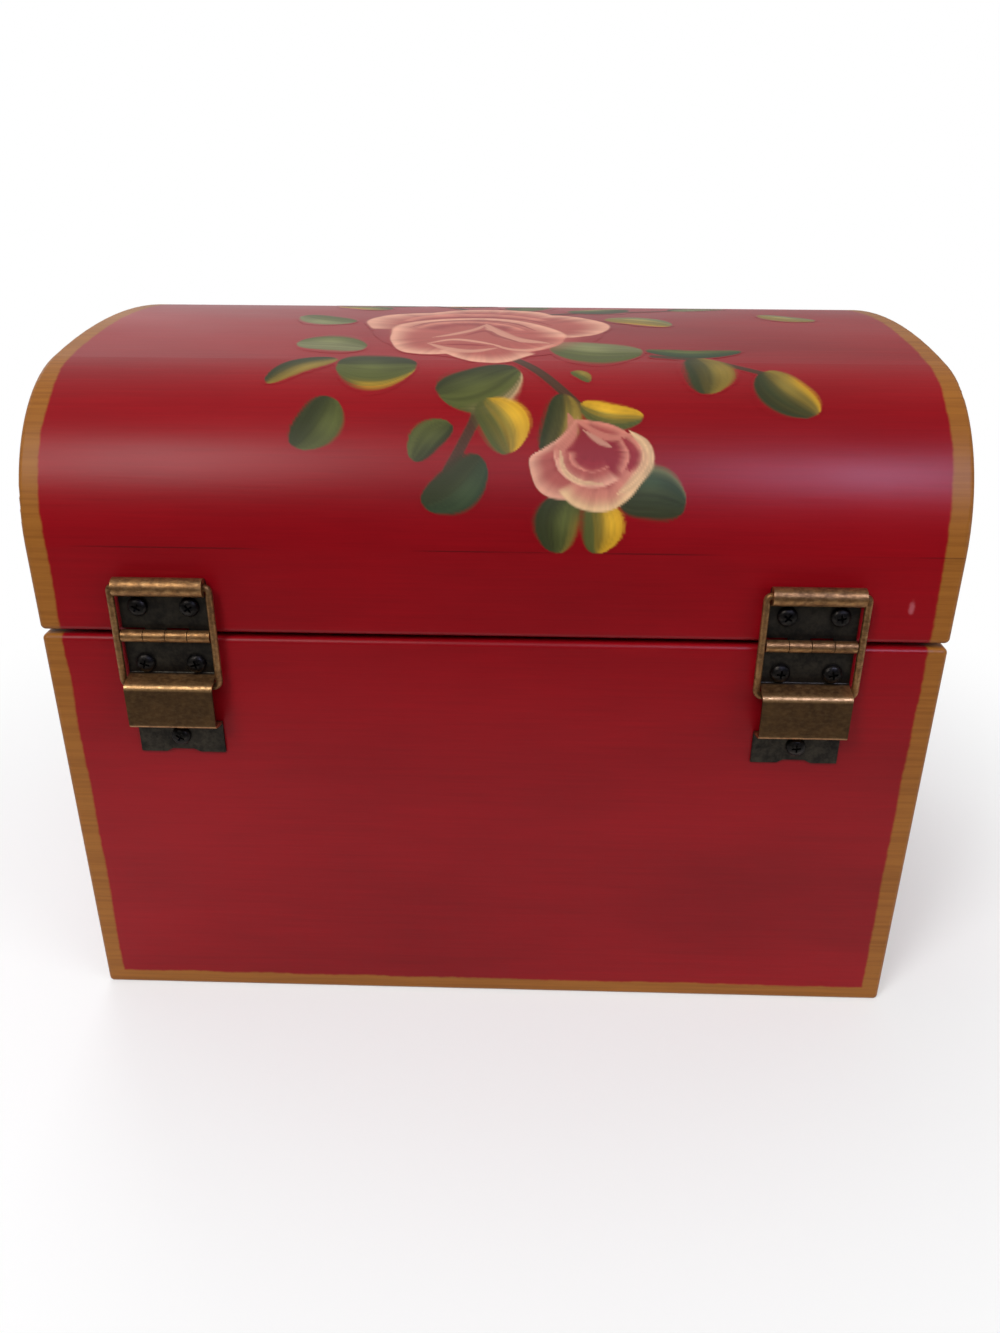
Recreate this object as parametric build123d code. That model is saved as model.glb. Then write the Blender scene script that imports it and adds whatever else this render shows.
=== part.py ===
from build123d import *
import math
import os

# A barrel-top wooden keepsake chest. Millimetres, +Z up, the hinged back faces +Y and the
# latched front faces -Y. The origin is the middle of the underside.

# Carcass
WIDTH = 250.0
DEPTH = 190.0
BASE_HEIGHT = 124.0
BOARD = 8.0
CORNER_REBATE = 3.0
BOTTOM_BOARD = 5.0
BOTTOM_REBATE = 3.0
EDGE_ROUND = 1.5

# Lid
SEAM_GAP = 1.4
RAIL_HEIGHT = 24.4
SHOULDER_RADIUS = 44.5
CROWN_RADIUS = 313.0
TOP_PANEL = 5.0

# Velvet lining
LINING = 1.0
FLOOR_LINING = 1.5
LINING_BELOW_RIM = 2.5
LINING_JOINT = 0.1

# Lift-out tray
TRAY_HEIGHT = 30.0
TRAY_BELOW_RIM = 3.0
TRAY_PLAY = 1.0
TRAY_WALL = 4.0
TRAY_BOTTOM = 3.0
TRAY_GROOVE = 1.5
DIVIDER = 3.0
DIVIDER_BELOW_TRAY_RIM = 3.0
TRAY_PAD = 1.2
TRAY_PAD_PLAY = 0.4
NOTCH_RADIUS = 10.0
NOTCH_DEPTH = 8.0
LEDGE_WIDTH = 7.0
LEDGE_HEIGHT = 7.0
BACK_ROW_SHARE = 0.56
RING_BAY_SHARE = 0.5
FRONT_BAYS = 3

# Ring rolls
ROLL_COUNT = 6
ROLL_HEIGHT = 17.0
ROLL_GAP = 0.6
ROLL_END_PLAY = 0.8
ROLL_END_DRAW = 1.6

# Stop hinges: sheet leaves, a pin and a wire bail
HINGE_INSET = 37.0
HINGES_OFF_CENTRE = 1.05
HINGE_WIDTH = 24.5
SHEET = 0.8
KNUCKLES = 4
KNUCKLE_GAP = 0.2
KNUCKLE_SETBACK = 0.25
PIN_RADIUS = 0.85
PIN_END_INSET = 0.2
RUNNING_CLEARANCE = 0.08
KNUCKLE_OFF_WOOD = 0.12
AXIS_ABOVE_BASE = 1.1
BAIL_RADIUS = 1.0
BAIL_ROLL_RISE = 14.7
BAIL_ROLL_WALL = 1.5
BAIL_LENGTH = 29.5
BAIL_HALF_WIDTH = 13.45
BAIL_TOP_BEND = 1.2
BAIL_FOOT_BEND = 2.0
BAIL_END_GAP = 0.3
UPPER_SCREW_RISE = 8.3
LOWER_SCREW_DROP = 8.5
SCREW_SPREAD = 14.2
HUMP_START_DROP = 11.8
HUMP_CREST_DROP = 13.6
HUMP_FOOT_DROP = 26.0
HUMP_PROUD = 6.9
HUMP_CREST_BEND = 1.2
SHEET_BEND = 0.8
TAB_START_DROP = 27.2
TAB_END_DROP = 37.0
TAB_SCREW_DROP = 31.6
TAB_NOTCH_WIDTH = 6.0
TAB_NOTCH_SPLAY = 1.85
TAB_NOTCH_HEIGHT = 1.0

# Pan-head screws of the hinges
SCREW_HEAD_RADIUS = 2.75
SCREW_HEAD_HEIGHT = 1.6
SCREW_HEAD_RIM = 0.7
SCREW_HEAD_TOP_RADIUS = 1.7
SCREW_SHANK_RADIUS = 1.2
SCREW_LENGTH = 6.0
SCREW_HOLE_CLEARANCE = 0.3
PILOT_CLEARANCE = 0.05

# Front latch: a hook on the base swings up over a stud on the lid
HOOK_PIVOT_DROP = 14.0
CATCH_RISE = 12.0
PLATE_WIDTH = 24.0
HOOK_PLATE_HEIGHT = 15.0
CATCH_PLATE_HEIGHT = 12.0
PLATE_CORNER = 3.0
PLATE = 0.9
PLATE_SCREW_SPREAD = 17.0
FLAT_HEAD_RADIUS = 1.9
FLAT_HEAD_DEPTH = 0.7
FLAT_SHANK_RADIUS = 0.9
FLAT_SCREW_LENGTH = 5.5
HOOK = 1.3
HOOK_LIFT = 0.12
POST_RADIUS = 1.5
POST_SEAT = 3.0
POST_HEAD_RADIUS = 3.2
POST_HEAD = 1.1
HOOK_EYE_RADIUS = 4.6
HOOK_ARM_WIDTH = 6.0
HOOK_HEAD_RADIUS = 5.6
HOOK_MOUTH_PLAY = 0.35
HOOK_TAIL_WIDTH = 3.0
HOOK_TIP_REACH = 9.0
HOOK_TIP_RADIUS = 2.6

# Derived places
HALF_WIDTH = WIDTH / 2
HALF_DEPTH = DEPTH / 2
LID_FOOT = BASE_HEIGHT + SEAM_GAP
SPRING = LID_FOOT + RAIL_HEIGHT
SHOULDER_IN = HALF_DEPTH - SHOULDER_RADIUS
CROWN_CENTRE = SPRING - math.sqrt((CROWN_RADIUS - SHOULDER_RADIUS) ** 2 - SHOULDER_IN**2)
APEX = CROWN_CENTRE + CROWN_RADIUS
INNER_HALF_WIDTH = HALF_WIDTH - BOARD
INNER_HALF_DEPTH = HALF_DEPTH - BOARD
FAR = 2 * (WIDTH + DEPTH + APEX)

KNUCKLE_BORE = PIN_RADIUS + RUNNING_CLEARANCE
KNUCKLE_RADIUS = KNUCKLE_BORE + SHEET
ROLL_BORE = BAIL_RADIUS + RUNNING_CLEARANCE
ROLL_RADIUS = ROLL_BORE + BAIL_ROLL_WALL
AXIS_OUT = KNUCKLE_RADIUS + KNUCKLE_OFF_WOOD
ROLL_OUT = ROLL_RADIUS + KNUCKLE_OFF_WOOD
AXIS_Z = BASE_HEIGHT + AXIS_ABOVE_BASE
HINGE_X = {side: side * (HALF_WIDTH - HINGE_INSET) + HINGES_OFF_CENTRE for side in (-1, 1)}
PITCH = HINGE_WIDTH / KNUCKLES

TRAY_FLOOR_Z = BASE_HEIGHT - TRAY_BELOW_RIM - TRAY_HEIGHT
TRAY_TOP_Z = BASE_HEIGHT - TRAY_BELOW_RIM
TRAY_HALF_LENGTH = INNER_HALF_WIDTH - LINING - TRAY_PLAY
TRAY_HALF_DEPTH = INNER_HALF_DEPTH - LINING - TRAY_PLAY
BAY_FLOOR_Z = TRAY_FLOOR_Z + TRAY_BOTTOM
BAY_HALF_LENGTH = TRAY_HALF_LENGTH - TRAY_WALL
BAY_HALF_DEPTH = TRAY_HALF_DEPTH - TRAY_WALL
DIVIDER_TOP_Z = TRAY_TOP_Z - DIVIDER_BELOW_TRAY_RIM
LONG_DIVIDER_Y = BAY_HALF_DEPTH - 2 * BAY_HALF_DEPTH * BACK_ROW_SHARE - DIVIDER / 2
RING_DIVIDER_X = -BAY_HALF_LENGTH + 2 * BAY_HALF_LENGTH * RING_BAY_SHARE

HOOK_PIVOT_Z = BASE_HEIGHT - HOOK_PIVOT_DROP
CATCH_Z = LID_FOOT + CATCH_RISE
HOOK_REACH = CATCH_Z - HOOK_PIVOT_Z

parts = {}


def block(x0, x1, y0, y1, z0, z1):
    """A box given by its faces."""
    middle = Pos((x0 + x1) / 2, (y0 + y1) / 2, (z0 + z1) / 2)
    return middle * Box(x1 - x0, y1 - y0, z1 - z0)


def side_extrusion(face, x0, x1):
    """A face drawn in (y, z), extruded along X from x0 to x1."""
    return Pos(x0, 0, 0) * extrude(Plane.YZ * face, x1 - x0)


def arch_face(inset, foot):
    """The lid's end view in (y, z), its outer face moved in by inset, from height foot up."""
    shoulder = SHOULDER_RADIUS - inset
    crown = CROWN_RADIUS - inset
    lean = math.degrees(math.atan2(SPRING - CROWN_CENTRE, SHOULDER_IN))
    half = HALF_DEPTH - inset
    right = CenterArc((SHOULDER_IN, SPRING), shoulder, 0, lean)
    top = CenterArc((0, CROWN_CENTRE), crown, lean, 180 - 2 * lean)
    left = CenterArc((-SHOULDER_IN, SPRING), shoulder, 180 - lean, lean)
    sides = Line((-half, SPRING), (-half, foot)) + Line((half, foot), (half, SPRING))
    return make_face(sides + Line((-half, foot), (half, foot)) + right + top + left)


def rounded_base():
    """The whole base as one block with its worn outer edges, from which the boards are cut."""
    whole = block(-HALF_WIDTH, HALF_WIDTH, -HALF_DEPTH, HALF_DEPTH, 0, BASE_HEIGHT)
    return fillet(whole.edges(), EDGE_ROUND)


def rounded_lid():
    """The whole lid as one block with its worn outer edges."""
    whole = side_extrusion(arch_face(0, LID_FOOT), -HALF_WIDTH, HALF_WIDTH)
    ends = whole.edges().filter_by(lambda e: abs(abs(e.center().X) - HALF_WIDTH) < 1e-3)
    feet = whole.edges().filter_by(Axis.X).filter_by(lambda e: abs(e.center().Z - LID_FOOT) < 1e-3)
    return fillet(ends + feet, EDGE_ROUND)


def screw_places():
    """Each hinge screw: (hinge side, group, x, z). Two in each leaf and one in the tab."""
    places = []
    for side in (-1, 1):
        for across in (-1, 1):
            x = HINGE_X[side] + across * SCREW_SPREAD / 2
            places.append((side, "upper", x, AXIS_Z + UPPER_SCREW_RISE))
            places.append((side, "lower", x, AXIS_Z - LOWER_SCREW_DROP))
        places.append((side, "lower", HINGE_X[side], AXIS_Z - TAB_SCREW_DROP))
    return places


def latch_screw_places(height):
    """The two screws of a latch plate at that height, on the front."""
    return [(across * PLATE_SCREW_SPREAD / 2, height) for across in (-1, 1)]


def back_rod(x, z, radius, out_from, out_to):
    """A rod square to the back, between two distances outward of the back face."""
    rod = Cylinder(radius, out_to - out_from, align=(Align.CENTER, Align.CENTER, Align.MIN))
    return Pos(x, HALF_DEPTH + out_from, z) * Rot(-90, 0, 0) * rod


def front_rod(x, z, radius, out_from, out_to):
    """A rod square to the front, between two distances outward of the front face."""
    rod = Cylinder(radius, out_to - out_from, align=(Align.CENTER, Align.CENTER, Align.MIN))
    return Pos(x, -HALF_DEPTH - out_from, z) * Rot(90, 0, 0) * rod


def corner_rebates(foot, top):
    """The space that both end boards take, with the tongues that seat in the long boards."""
    reach = INNER_HALF_DEPTH + CORNER_REBATE
    left = block(-HALF_WIDTH, -INNER_HALF_WIDTH, -reach, reach, foot, top)
    right = block(INNER_HALF_WIDTH, HALF_WIDTH, -reach, reach, foot, top)
    return left, right


def make_base_boards():
    whole = rounded_base()
    left, right = corner_rebates(0, BASE_HEIGHT)
    seat_x = INNER_HALF_WIDTH + BOTTOM_REBATE
    seat_y = INNER_HALF_DEPTH + BOTTOM_REBATE
    floor = block(-seat_x, seat_x, -seat_y, seat_y, 0, BOTTOM_BOARD)
    back = whole & block(-FAR, FAR, INNER_HALF_DEPTH, FAR, -FAR, FAR)
    front = whole & block(-FAR, FAR, -FAR, -INNER_HALF_DEPTH, -FAR, FAR)
    pilot = SCREW_SHANK_RADIUS + PILOT_CLEARANCE
    for side, group, x, z in screw_places():
        if group == "lower":
            back -= back_rod(x, z, pilot, -SCREW_LENGTH, SHEET)
    flat_pilot = FLAT_SHANK_RADIUS + PILOT_CLEARANCE
    for x, z in latch_screw_places(HOOK_PIVOT_Z):
        front -= front_rod(x, z, flat_pilot, -FLAT_SCREW_LENGTH, PLATE)
    front -= front_rod(0, HOOK_PIVOT_Z, POST_RADIUS + PILOT_CLEARANCE, -POST_SEAT, PLATE)
    parts["base_back_board"] = back - left - right - floor
    parts["base_front_board"] = front - left - right - floor
    parts["base_left_board"] = (whole & left) - floor
    parts["base_right_board"] = (whole & right) - floor
    parts["base_bottom_board"] = floor


def make_lid_boards():
    whole = rounded_lid()
    left, right = corner_rebates(LID_FOOT, SPRING)
    under_panel = side_extrusion(arch_face(TOP_PANEL, LID_FOOT), -FAR, FAR)
    above_rails = block(-FAR, FAR, -FAR, FAR, SPRING, FAR)
    back = whole & block(-FAR, FAR, INNER_HALF_DEPTH, FAR, -FAR, SPRING)
    front = whole & block(-FAR, FAR, -FAR, -INNER_HALF_DEPTH, -FAR, SPRING)
    pilot = SCREW_SHANK_RADIUS + PILOT_CLEARANCE
    for side, group, x, z in screw_places():
        if group == "upper":
            back -= back_rod(x, z, pilot, -SCREW_LENGTH, SHEET)
    flat_pilot = FLAT_SHANK_RADIUS + PILOT_CLEARANCE
    for x, z in latch_screw_places(CATCH_Z):
        front -= front_rod(x, z, flat_pilot, -FLAT_SCREW_LENGTH, PLATE)
    front -= front_rod(0, CATCH_Z, POST_RADIUS + PILOT_CLEARANCE, -POST_SEAT, PLATE)
    parts["lid_back_rail"] = back - left - right
    parts["lid_front_rail"] = front - left - right
    parts["lid_top_panel"] = (whole & above_rails) - under_panel
    for name, low in (("lid_left_end", left), ("lid_right_end", right)):
        x0 = low.bounding_box().min.X
        arch = side_extrusion(arch_face(TOP_PANEL, LID_FOOT), x0, x0 + BOARD) & above_rails
        parts[name] = whole & (low + arch)


def make_linings():
    """Velvet on thin card, glued to the boards inside."""
    top = BASE_HEIGHT - LINING_BELOW_RIM
    floor_top = BOTTOM_BOARD + FLOOR_LINING
    half_x = INNER_HALF_WIDTH
    half_y = INNER_HALF_DEPTH
    parts["base_floor_lining"] = block(-half_x, half_x, -half_y, half_y, BOTTOM_BOARD, floor_top)
    foot = floor_top + LINING_JOINT
    near_x = half_x - LINING
    near_y = half_y - LINING
    long_x = near_x - LINING_JOINT
    parts["base_wall_linings"] = Compound(
        children=[
            block(-half_x, -near_x, -half_y, half_y, foot, top),
            block(near_x, half_x, -half_y, half_y, foot, top),
            block(-long_x, long_x, -half_y, -near_y, foot, top),
            block(-long_x, long_x, near_y, half_y, foot, top),
        ]
    )
    lid_foot = LID_FOOT + LINING_BELOW_RIM
    rail_top = SPRING - LINING_JOINT
    parts["lid_rail_linings"] = Compound(
        children=[
            block(-long_x, long_x, -half_y, -near_y, lid_foot, rail_top),
            block(-long_x, long_x, near_y, half_y, lid_foot, rail_top),
        ]
    )
    under = side_extrusion(arch_face(TOP_PANEL, LID_FOOT), -long_x, long_x)
    clear = side_extrusion(arch_face(TOP_PANEL + LINING, LID_FOOT), -FAR, FAR)
    parts["lid_arch_lining"] = (under - clear) & block(-FAR, FAR, -FAR, FAR, SPRING, FAR)
    low = block(-FAR, FAR, -half_y, half_y, lid_foot, SPRING)
    high = block(-FAR, FAR, -FAR, FAR, SPRING, FAR)
    sheets = []
    for x0 in (-half_x, near_x):
        sheet = side_extrusion(arch_face(TOP_PANEL, LID_FOOT), x0, x0 + LINING)
        sheets.append(sheet & (low + high))
    parts["lid_end_linings"] = Compound(children=sheets)


def make_tray():
    half_x = TRAY_HALF_LENGTH
    half_y = TRAY_HALF_DEPTH
    z0 = TRAY_FLOOR_Z
    z1 = TRAY_TOP_Z
    board = block(
        -BAY_HALF_LENGTH - TRAY_GROOVE,
        BAY_HALF_LENGTH + TRAY_GROOVE,
        -BAY_HALF_DEPTH - TRAY_GROOVE,
        BAY_HALF_DEPTH + TRAY_GROOVE,
        z0,
        BAY_FLOOR_Z,
    )
    long_divider = block(
        -BAY_HALF_LENGTH,
        BAY_HALF_LENGTH,
        LONG_DIVIDER_Y - DIVIDER / 2,
        LONG_DIVIDER_Y + DIVIDER / 2,
        BAY_FLOOR_Z,
        DIVIDER_TOP_Z,
    )
    parts["tray_bottom"] = board
    parts["tray_front_wall"] = block(-half_x, half_x, -half_y, -BAY_HALF_DEPTH, z0, z1) - board
    parts["tray_back_wall"] = block(-half_x, half_x, BAY_HALF_DEPTH, half_y, z0, z1) - board
    notch_centre = z1 + NOTCH_RADIUS - NOTCH_DEPTH
    notch = Pos(0, 0, notch_centre) * Rot(0, 90, 0) * Cylinder(NOTCH_RADIUS, FAR)
    for name, x0 in (("tray_left_wall", -half_x), ("tray_right_wall", BAY_HALF_LENGTH)):
        wall = block(x0, x0 + TRAY_WALL, -BAY_HALF_DEPTH, BAY_HALF_DEPTH, z0, z1)
        parts[name] = wall - board - notch
    parts["tray_long_divider"] = long_divider
    parts["tray_ring_divider"] = block(
        RING_DIVIDER_X - DIVIDER / 2,
        RING_DIVIDER_X + DIVIDER / 2,
        LONG_DIVIDER_Y + DIVIDER / 2,
        BAY_HALF_DEPTH,
        BAY_FLOOR_Z,
        DIVIDER_TOP_Z,
    )
    front_dividers = []
    for x in front_divider_places():
        front_dividers.append(
            block(
                x - DIVIDER / 2,
                x + DIVIDER / 2,
                -BAY_HALF_DEPTH,
                LONG_DIVIDER_Y - DIVIDER / 2,
                BAY_FLOOR_Z,
                DIVIDER_TOP_Z,
            )
        )
    parts["tray_front_dividers"] = Compound(children=front_dividers)
    pads = [padded_bay(*bay) for bay in bays()]
    parts["tray_pads"] = Compound(children=pads)
    for name, side in (("tray_ledge_left", -1), ("tray_ledge_right", 1)):
        near = side * (INNER_HALF_WIDTH - LINING)
        far = near - side * LEDGE_WIDTH
        span = INNER_HALF_DEPTH - LINING
        z2 = TRAY_FLOOR_Z - LEDGE_HEIGHT
        parts[name] = block(min(near, far), max(near, far), -span, span, z2, TRAY_FLOOR_Z)


def front_divider_places():
    step = 2 * BAY_HALF_LENGTH / FRONT_BAYS
    return [-BAY_HALF_LENGTH + step * i for i in range(1, FRONT_BAYS)]


def bays():
    """The tray's open bays as (x0, x1, y0, y1); the ring rolls fill the other one."""
    edge = DIVIDER / 2
    found = [
        (RING_DIVIDER_X + edge, BAY_HALF_LENGTH, LONG_DIVIDER_Y + edge, BAY_HALF_DEPTH),
    ]
    walls = [-BAY_HALF_LENGTH - edge, *front_divider_places(), BAY_HALF_LENGTH + edge]
    for low, high in zip(walls, walls[1:]):
        found.append((low + edge, high - edge, -BAY_HALF_DEPTH, LONG_DIVIDER_Y - edge))
    return found


def padded_bay(x0, x1, y0, y1):
    play = TRAY_PAD_PLAY
    return block(x0 + play, x1 - play, y0 + play, y1 - play, BAY_FLOOR_Z, BAY_FLOOR_Z + TRAY_PAD)


def make_ring_rolls():
    """Velvet-covered foam rolls side by side: flat under, round on top, drawn in at the ends."""
    x0 = -BAY_HALF_LENGTH + ROLL_END_PLAY
    x1 = RING_DIVIDER_X - DIVIDER / 2 - ROLL_END_PLAY
    y0 = LONG_DIVIDER_Y + DIVIDER / 2
    pitch = (BAY_HALF_DEPTH - y0) / ROLL_COUNT
    half = (pitch - ROLL_GAP) / 2
    rolls = []
    for i in range(ROLL_COUNT):
        y = y0 + pitch * (i + 0.5)
        sections = []
        for x, draw in ((x0, ROLL_END_DRAW), (x0 + half, 0), (x1 - half, 0), (x1, ROLL_END_DRAW)):
            sections.append(Plane.YZ.offset(x) * roll_section(y, half - draw, ROLL_HEIGHT - draw))
        rolls.append(loft(sections, ruled=True))
    parts["ring_rolls"] = Compound(children=rolls)


def roll_section(y, half, height):
    spring = BAY_FLOOR_Z + height - half
    crown = CenterArc((y, spring), half, 0, 180)
    sides = Line((y - half, spring), (y - half, BAY_FLOOR_Z))
    sides += Line((y - half, BAY_FLOOR_Z), (y + half, BAY_FLOOR_Z))
    sides += Line((y + half, BAY_FLOOR_Z), (y + half, spring))
    return make_face(crown + sides)


def out(distance):
    """The y of a point that far outward of the back face."""
    return HALF_DEPTH + distance


def knuckle_cut(first):
    """Clears every second knuckle, over the whole hinge, starting with that one."""
    reach = KNUCKLE_RADIUS + KNUCKLE_SETBACK
    cut = []
    for i in range(first, KNUCKLES, 2):
        high = HINGE_WIDTH / 2 - PITCH * i + KNUCKLE_GAP / 2
        low = high - PITCH - KNUCKLE_GAP
        y1 = out(AXIS_OUT + reach)
        cut.append(block(low, high, out(-SHEET), y1, AXIS_Z - reach, AXIS_Z + reach))
    return cut


def make_upper_leaf():
    """The leaf on the lid: a flat sheet with knuckles below and a roll above for the bail."""
    roll_z = AXIS_Z + BAIL_ROLL_RISE
    sheet = Pos(out(SHEET / 2), (AXIS_Z + roll_z) / 2) * Rectangle(SHEET, BAIL_ROLL_RISE)
    roll = Pos(out(ROLL_OUT), roll_z) * Circle(ROLL_RADIUS)
    knuckle = Pos(out(AXIS_OUT), AXIS_Z) * Circle(KNUCKLE_RADIUS)
    face = sheet + roll + knuckle
    face -= Pos(out(ROLL_OUT), roll_z) * Circle(ROLL_BORE)
    face -= Pos(out(AXIS_OUT), AXIS_Z) * Circle(KNUCKLE_BORE)
    leaf = side_extrusion(face, -HINGE_WIDTH / 2, HINGE_WIDTH / 2)
    for cut in knuckle_cut(0):
        leaf -= cut
    for across in (-1, 1):
        leaf -= screw_hole(across * SCREW_SPREAD / 2, AXIS_Z + UPPER_SCREW_RISE)
    return leaf


def screw_hole(x, z):
    return back_rod(x, z, SCREW_SHANK_RADIUS + SCREW_HOLE_CLEARANCE, -SHEET, 2 * SHEET)


def make_lower_leaf():
    """The leaf on the base: knuckles, a flat with two screws, a hollow hump and a screwed tab."""
    flat = out(SHEET / 2)
    proud = out(HUMP_PROUD - SHEET / 2)
    path = FilletPolyline(
        (flat, AXIS_Z),
        (flat, AXIS_Z - HUMP_START_DROP),
        (proud, AXIS_Z - HUMP_CREST_DROP),
        (proud, AXIS_Z - HUMP_FOOT_DROP),
        (flat, AXIS_Z - TAB_START_DROP),
        (flat, AXIS_Z - TAB_END_DROP),
        radius=(SHEET_BEND, HUMP_CREST_BEND, HUMP_CREST_BEND, SHEET_BEND),
    )
    face = trace(path, SHEET) + Pos(out(AXIS_OUT), AXIS_Z) * Circle(KNUCKLE_RADIUS)
    face -= Pos(out(AXIS_OUT), AXIS_Z) * Circle(KNUCKLE_BORE)
    leaf = side_extrusion(face, -HINGE_WIDTH / 2, HINGE_WIDTH / 2)
    for cut in knuckle_cut(1):
        leaf -= cut
    for across in (-1, 1):
        leaf -= screw_hole(across * SCREW_SPREAD / 2, AXIS_Z - LOWER_SCREW_DROP)
    leaf -= screw_hole(0, AXIS_Z - TAB_SCREW_DROP)
    foot = AXIS_Z - TAB_END_DROP
    half = TAB_NOTCH_WIDTH / 2
    notch = Polygon(
        (-half - TAB_NOTCH_SPLAY, foot - SHEET),
        (half + TAB_NOTCH_SPLAY, foot - SHEET),
        (half + TAB_NOTCH_SPLAY, foot),
        (half, foot + TAB_NOTCH_HEIGHT),
        (-half, foot + TAB_NOTCH_HEIGHT),
        (-half - TAB_NOTCH_SPLAY, foot),
        align=None,
    )
    return leaf - Pos(0, out(2 * SHEET), 0) * extrude(Plane.XZ * notch, 4 * SHEET, both=True)


def make_bail():
    """The wire loop: its top bar turns in the leaf's roll, its foot bar slides in the hump."""
    y = out(ROLL_OUT)
    top = AXIS_Z + BAIL_ROLL_RISE
    foot = top - BAIL_LENGTH
    half = BAIL_HALF_WIDTH
    end = BAIL_END_GAP / 2
    leg = Cylinder(BAIL_RADIUS, BAIL_LENGTH - BAIL_TOP_BEND - BAIL_FOOT_BEND)
    leg_z = (top - BAIL_TOP_BEND + foot + BAIL_FOOT_BEND) / 2
    shoulder = Cylinder(BAIL_RADIUS, half - BAIL_TOP_BEND - end)
    shoulder_x = (half - BAIL_TOP_BEND + end) / 2
    loop = Pos(0, y, foot) * Rot(0, 90, 0) * Cylinder(BAIL_RADIUS, 2 * (half - BAIL_FOOT_BEND))
    for side in (-1, 1):
        loop += Pos(side * half, y, leg_z) * leg
        loop += Pos(side * shoulder_x, y, top) * Rot(0, 90, 0) * shoulder
        loop += wire_bend(side, top, BAIL_TOP_BEND, -1)
        loop += wire_bend(side, foot, BAIL_FOOT_BEND, 1)
    return loop


def wire_bend(side, level, bend, inward):
    """A quarter turn of the bail's wire at one corner; inward is the way in z to its centre."""
    section = Pos(bend, 0) * Circle(BAIL_RADIUS)
    turn = Rot(-90 * inward, 0, 0) * revolve(Plane.XZ * section, Axis.Z, 90)
    if side < 0:
        turn = mirror(turn, about=Plane.YZ)
    return Pos(side * (BAIL_HALF_WIDTH - bend), out(ROLL_OUT), level + inward * bend) * turn


def make_pin():
    pin = Cylinder(PIN_RADIUS, HINGE_WIDTH - 2 * PIN_END_INSET)
    return Pos(0, out(AXIS_OUT), AXIS_Z) * Rot(0, 90, 0) * pin


def make_screw(x, z):
    """A pan-head screw in the back, seated on a hinge leaf."""
    outline = Polyline(
        (0, -SCREW_LENGTH),
        (SCREW_SHANK_RADIUS, -SCREW_LENGTH),
        (SCREW_SHANK_RADIUS, SHEET),
        (SCREW_HEAD_RADIUS, SHEET),
        (SCREW_HEAD_RADIUS, SHEET + SCREW_HEAD_RIM),
        (SCREW_HEAD_TOP_RADIUS, SHEET + SCREW_HEAD_HEIGHT),
        (0, SHEET + SCREW_HEAD_HEIGHT),
        close=True,
    )
    screw = revolve(Plane.XZ * make_face(outline), Axis.Z)
    return Pos(x, HALF_DEPTH, z) * Rot(-90, 0, 0) * screw


def make_hinges():
    for name, side in (("left", -1), ("right", 1)):
        place = Pos(HINGE_X[side], 0, 0)
        parts[f"hinge_{name}_upper_leaf"] = place * make_upper_leaf()
        parts[f"hinge_{name}_lower_leaf"] = place * make_lower_leaf()
        parts[f"hinge_{name}_pin"] = place * make_pin()
        parts[f"hinge_{name}_bail"] = place * make_bail()
        for group in ("upper", "lower"):
            screws = [
                make_screw(x, z)
                for screw_side, screw_group, x, z in screw_places()
                if (screw_side, screw_group) == (side, group)
            ]
            parts[f"hinge_{name}_{group}_screws"] = Compound(children=screws)


def front_solid(sketch, out_from, out_to):
    """A sketch in (x, z) on the front, between two distances outward of the front face."""
    return extrude(Plane.XZ.offset(HALF_DEPTH + out_from) * sketch, out_to - out_from)


def make_latch_plate(z, height):
    outline = Pos(0, z) * RectangleRounded(PLATE_WIDTH, height, PLATE_CORNER)
    plate = front_solid(outline, 0, PLATE)
    plate -= front_rod(0, z, POST_RADIUS + PILOT_CLEARANCE, -PLATE, 2 * PLATE)
    for x, screw_z in latch_screw_places(z):
        plate -= make_flat_screw(x, screw_z, PILOT_CLEARANCE, PLATE)
    return plate


def make_flat_screw(x, z, grown=0.0, above=0.0):
    """A countersunk screw, flush with a latch plate; grown and carried above, it cuts its hole."""
    shank = FLAT_SHANK_RADIUS + grown
    head = FLAT_HEAD_RADIUS + grown
    outline = Polyline(
        (0, -FLAT_SCREW_LENGTH), (shank, -FLAT_SCREW_LENGTH), (shank, PLATE - FLAT_HEAD_DEPTH)
    )
    outline += Line((shank, PLATE - FLAT_HEAD_DEPTH), (head, PLATE))
    if above:
        outline += Line((head, PLATE), (head, PLATE + above))
    outline += Polyline((head, PLATE + above), (0, PLATE + above), (0, -FLAT_SCREW_LENGTH))
    screw = revolve(Plane.XZ * make_face(outline), Axis.Z)
    return Pos(x, -HALF_DEPTH, z) * Rot(90, 0, 0) * screw


def make_post(z):
    """A turned post through a latch plate into the wood; its head keeps the hook on."""
    neck_end = PLATE + 2 * HOOK_LIFT + HOOK
    post = front_rod(0, z, POST_RADIUS, -POST_SEAT, neck_end)
    return post + front_rod(0, z, POST_HEAD_RADIUS, neck_end, neck_end + POST_HEAD)


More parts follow.
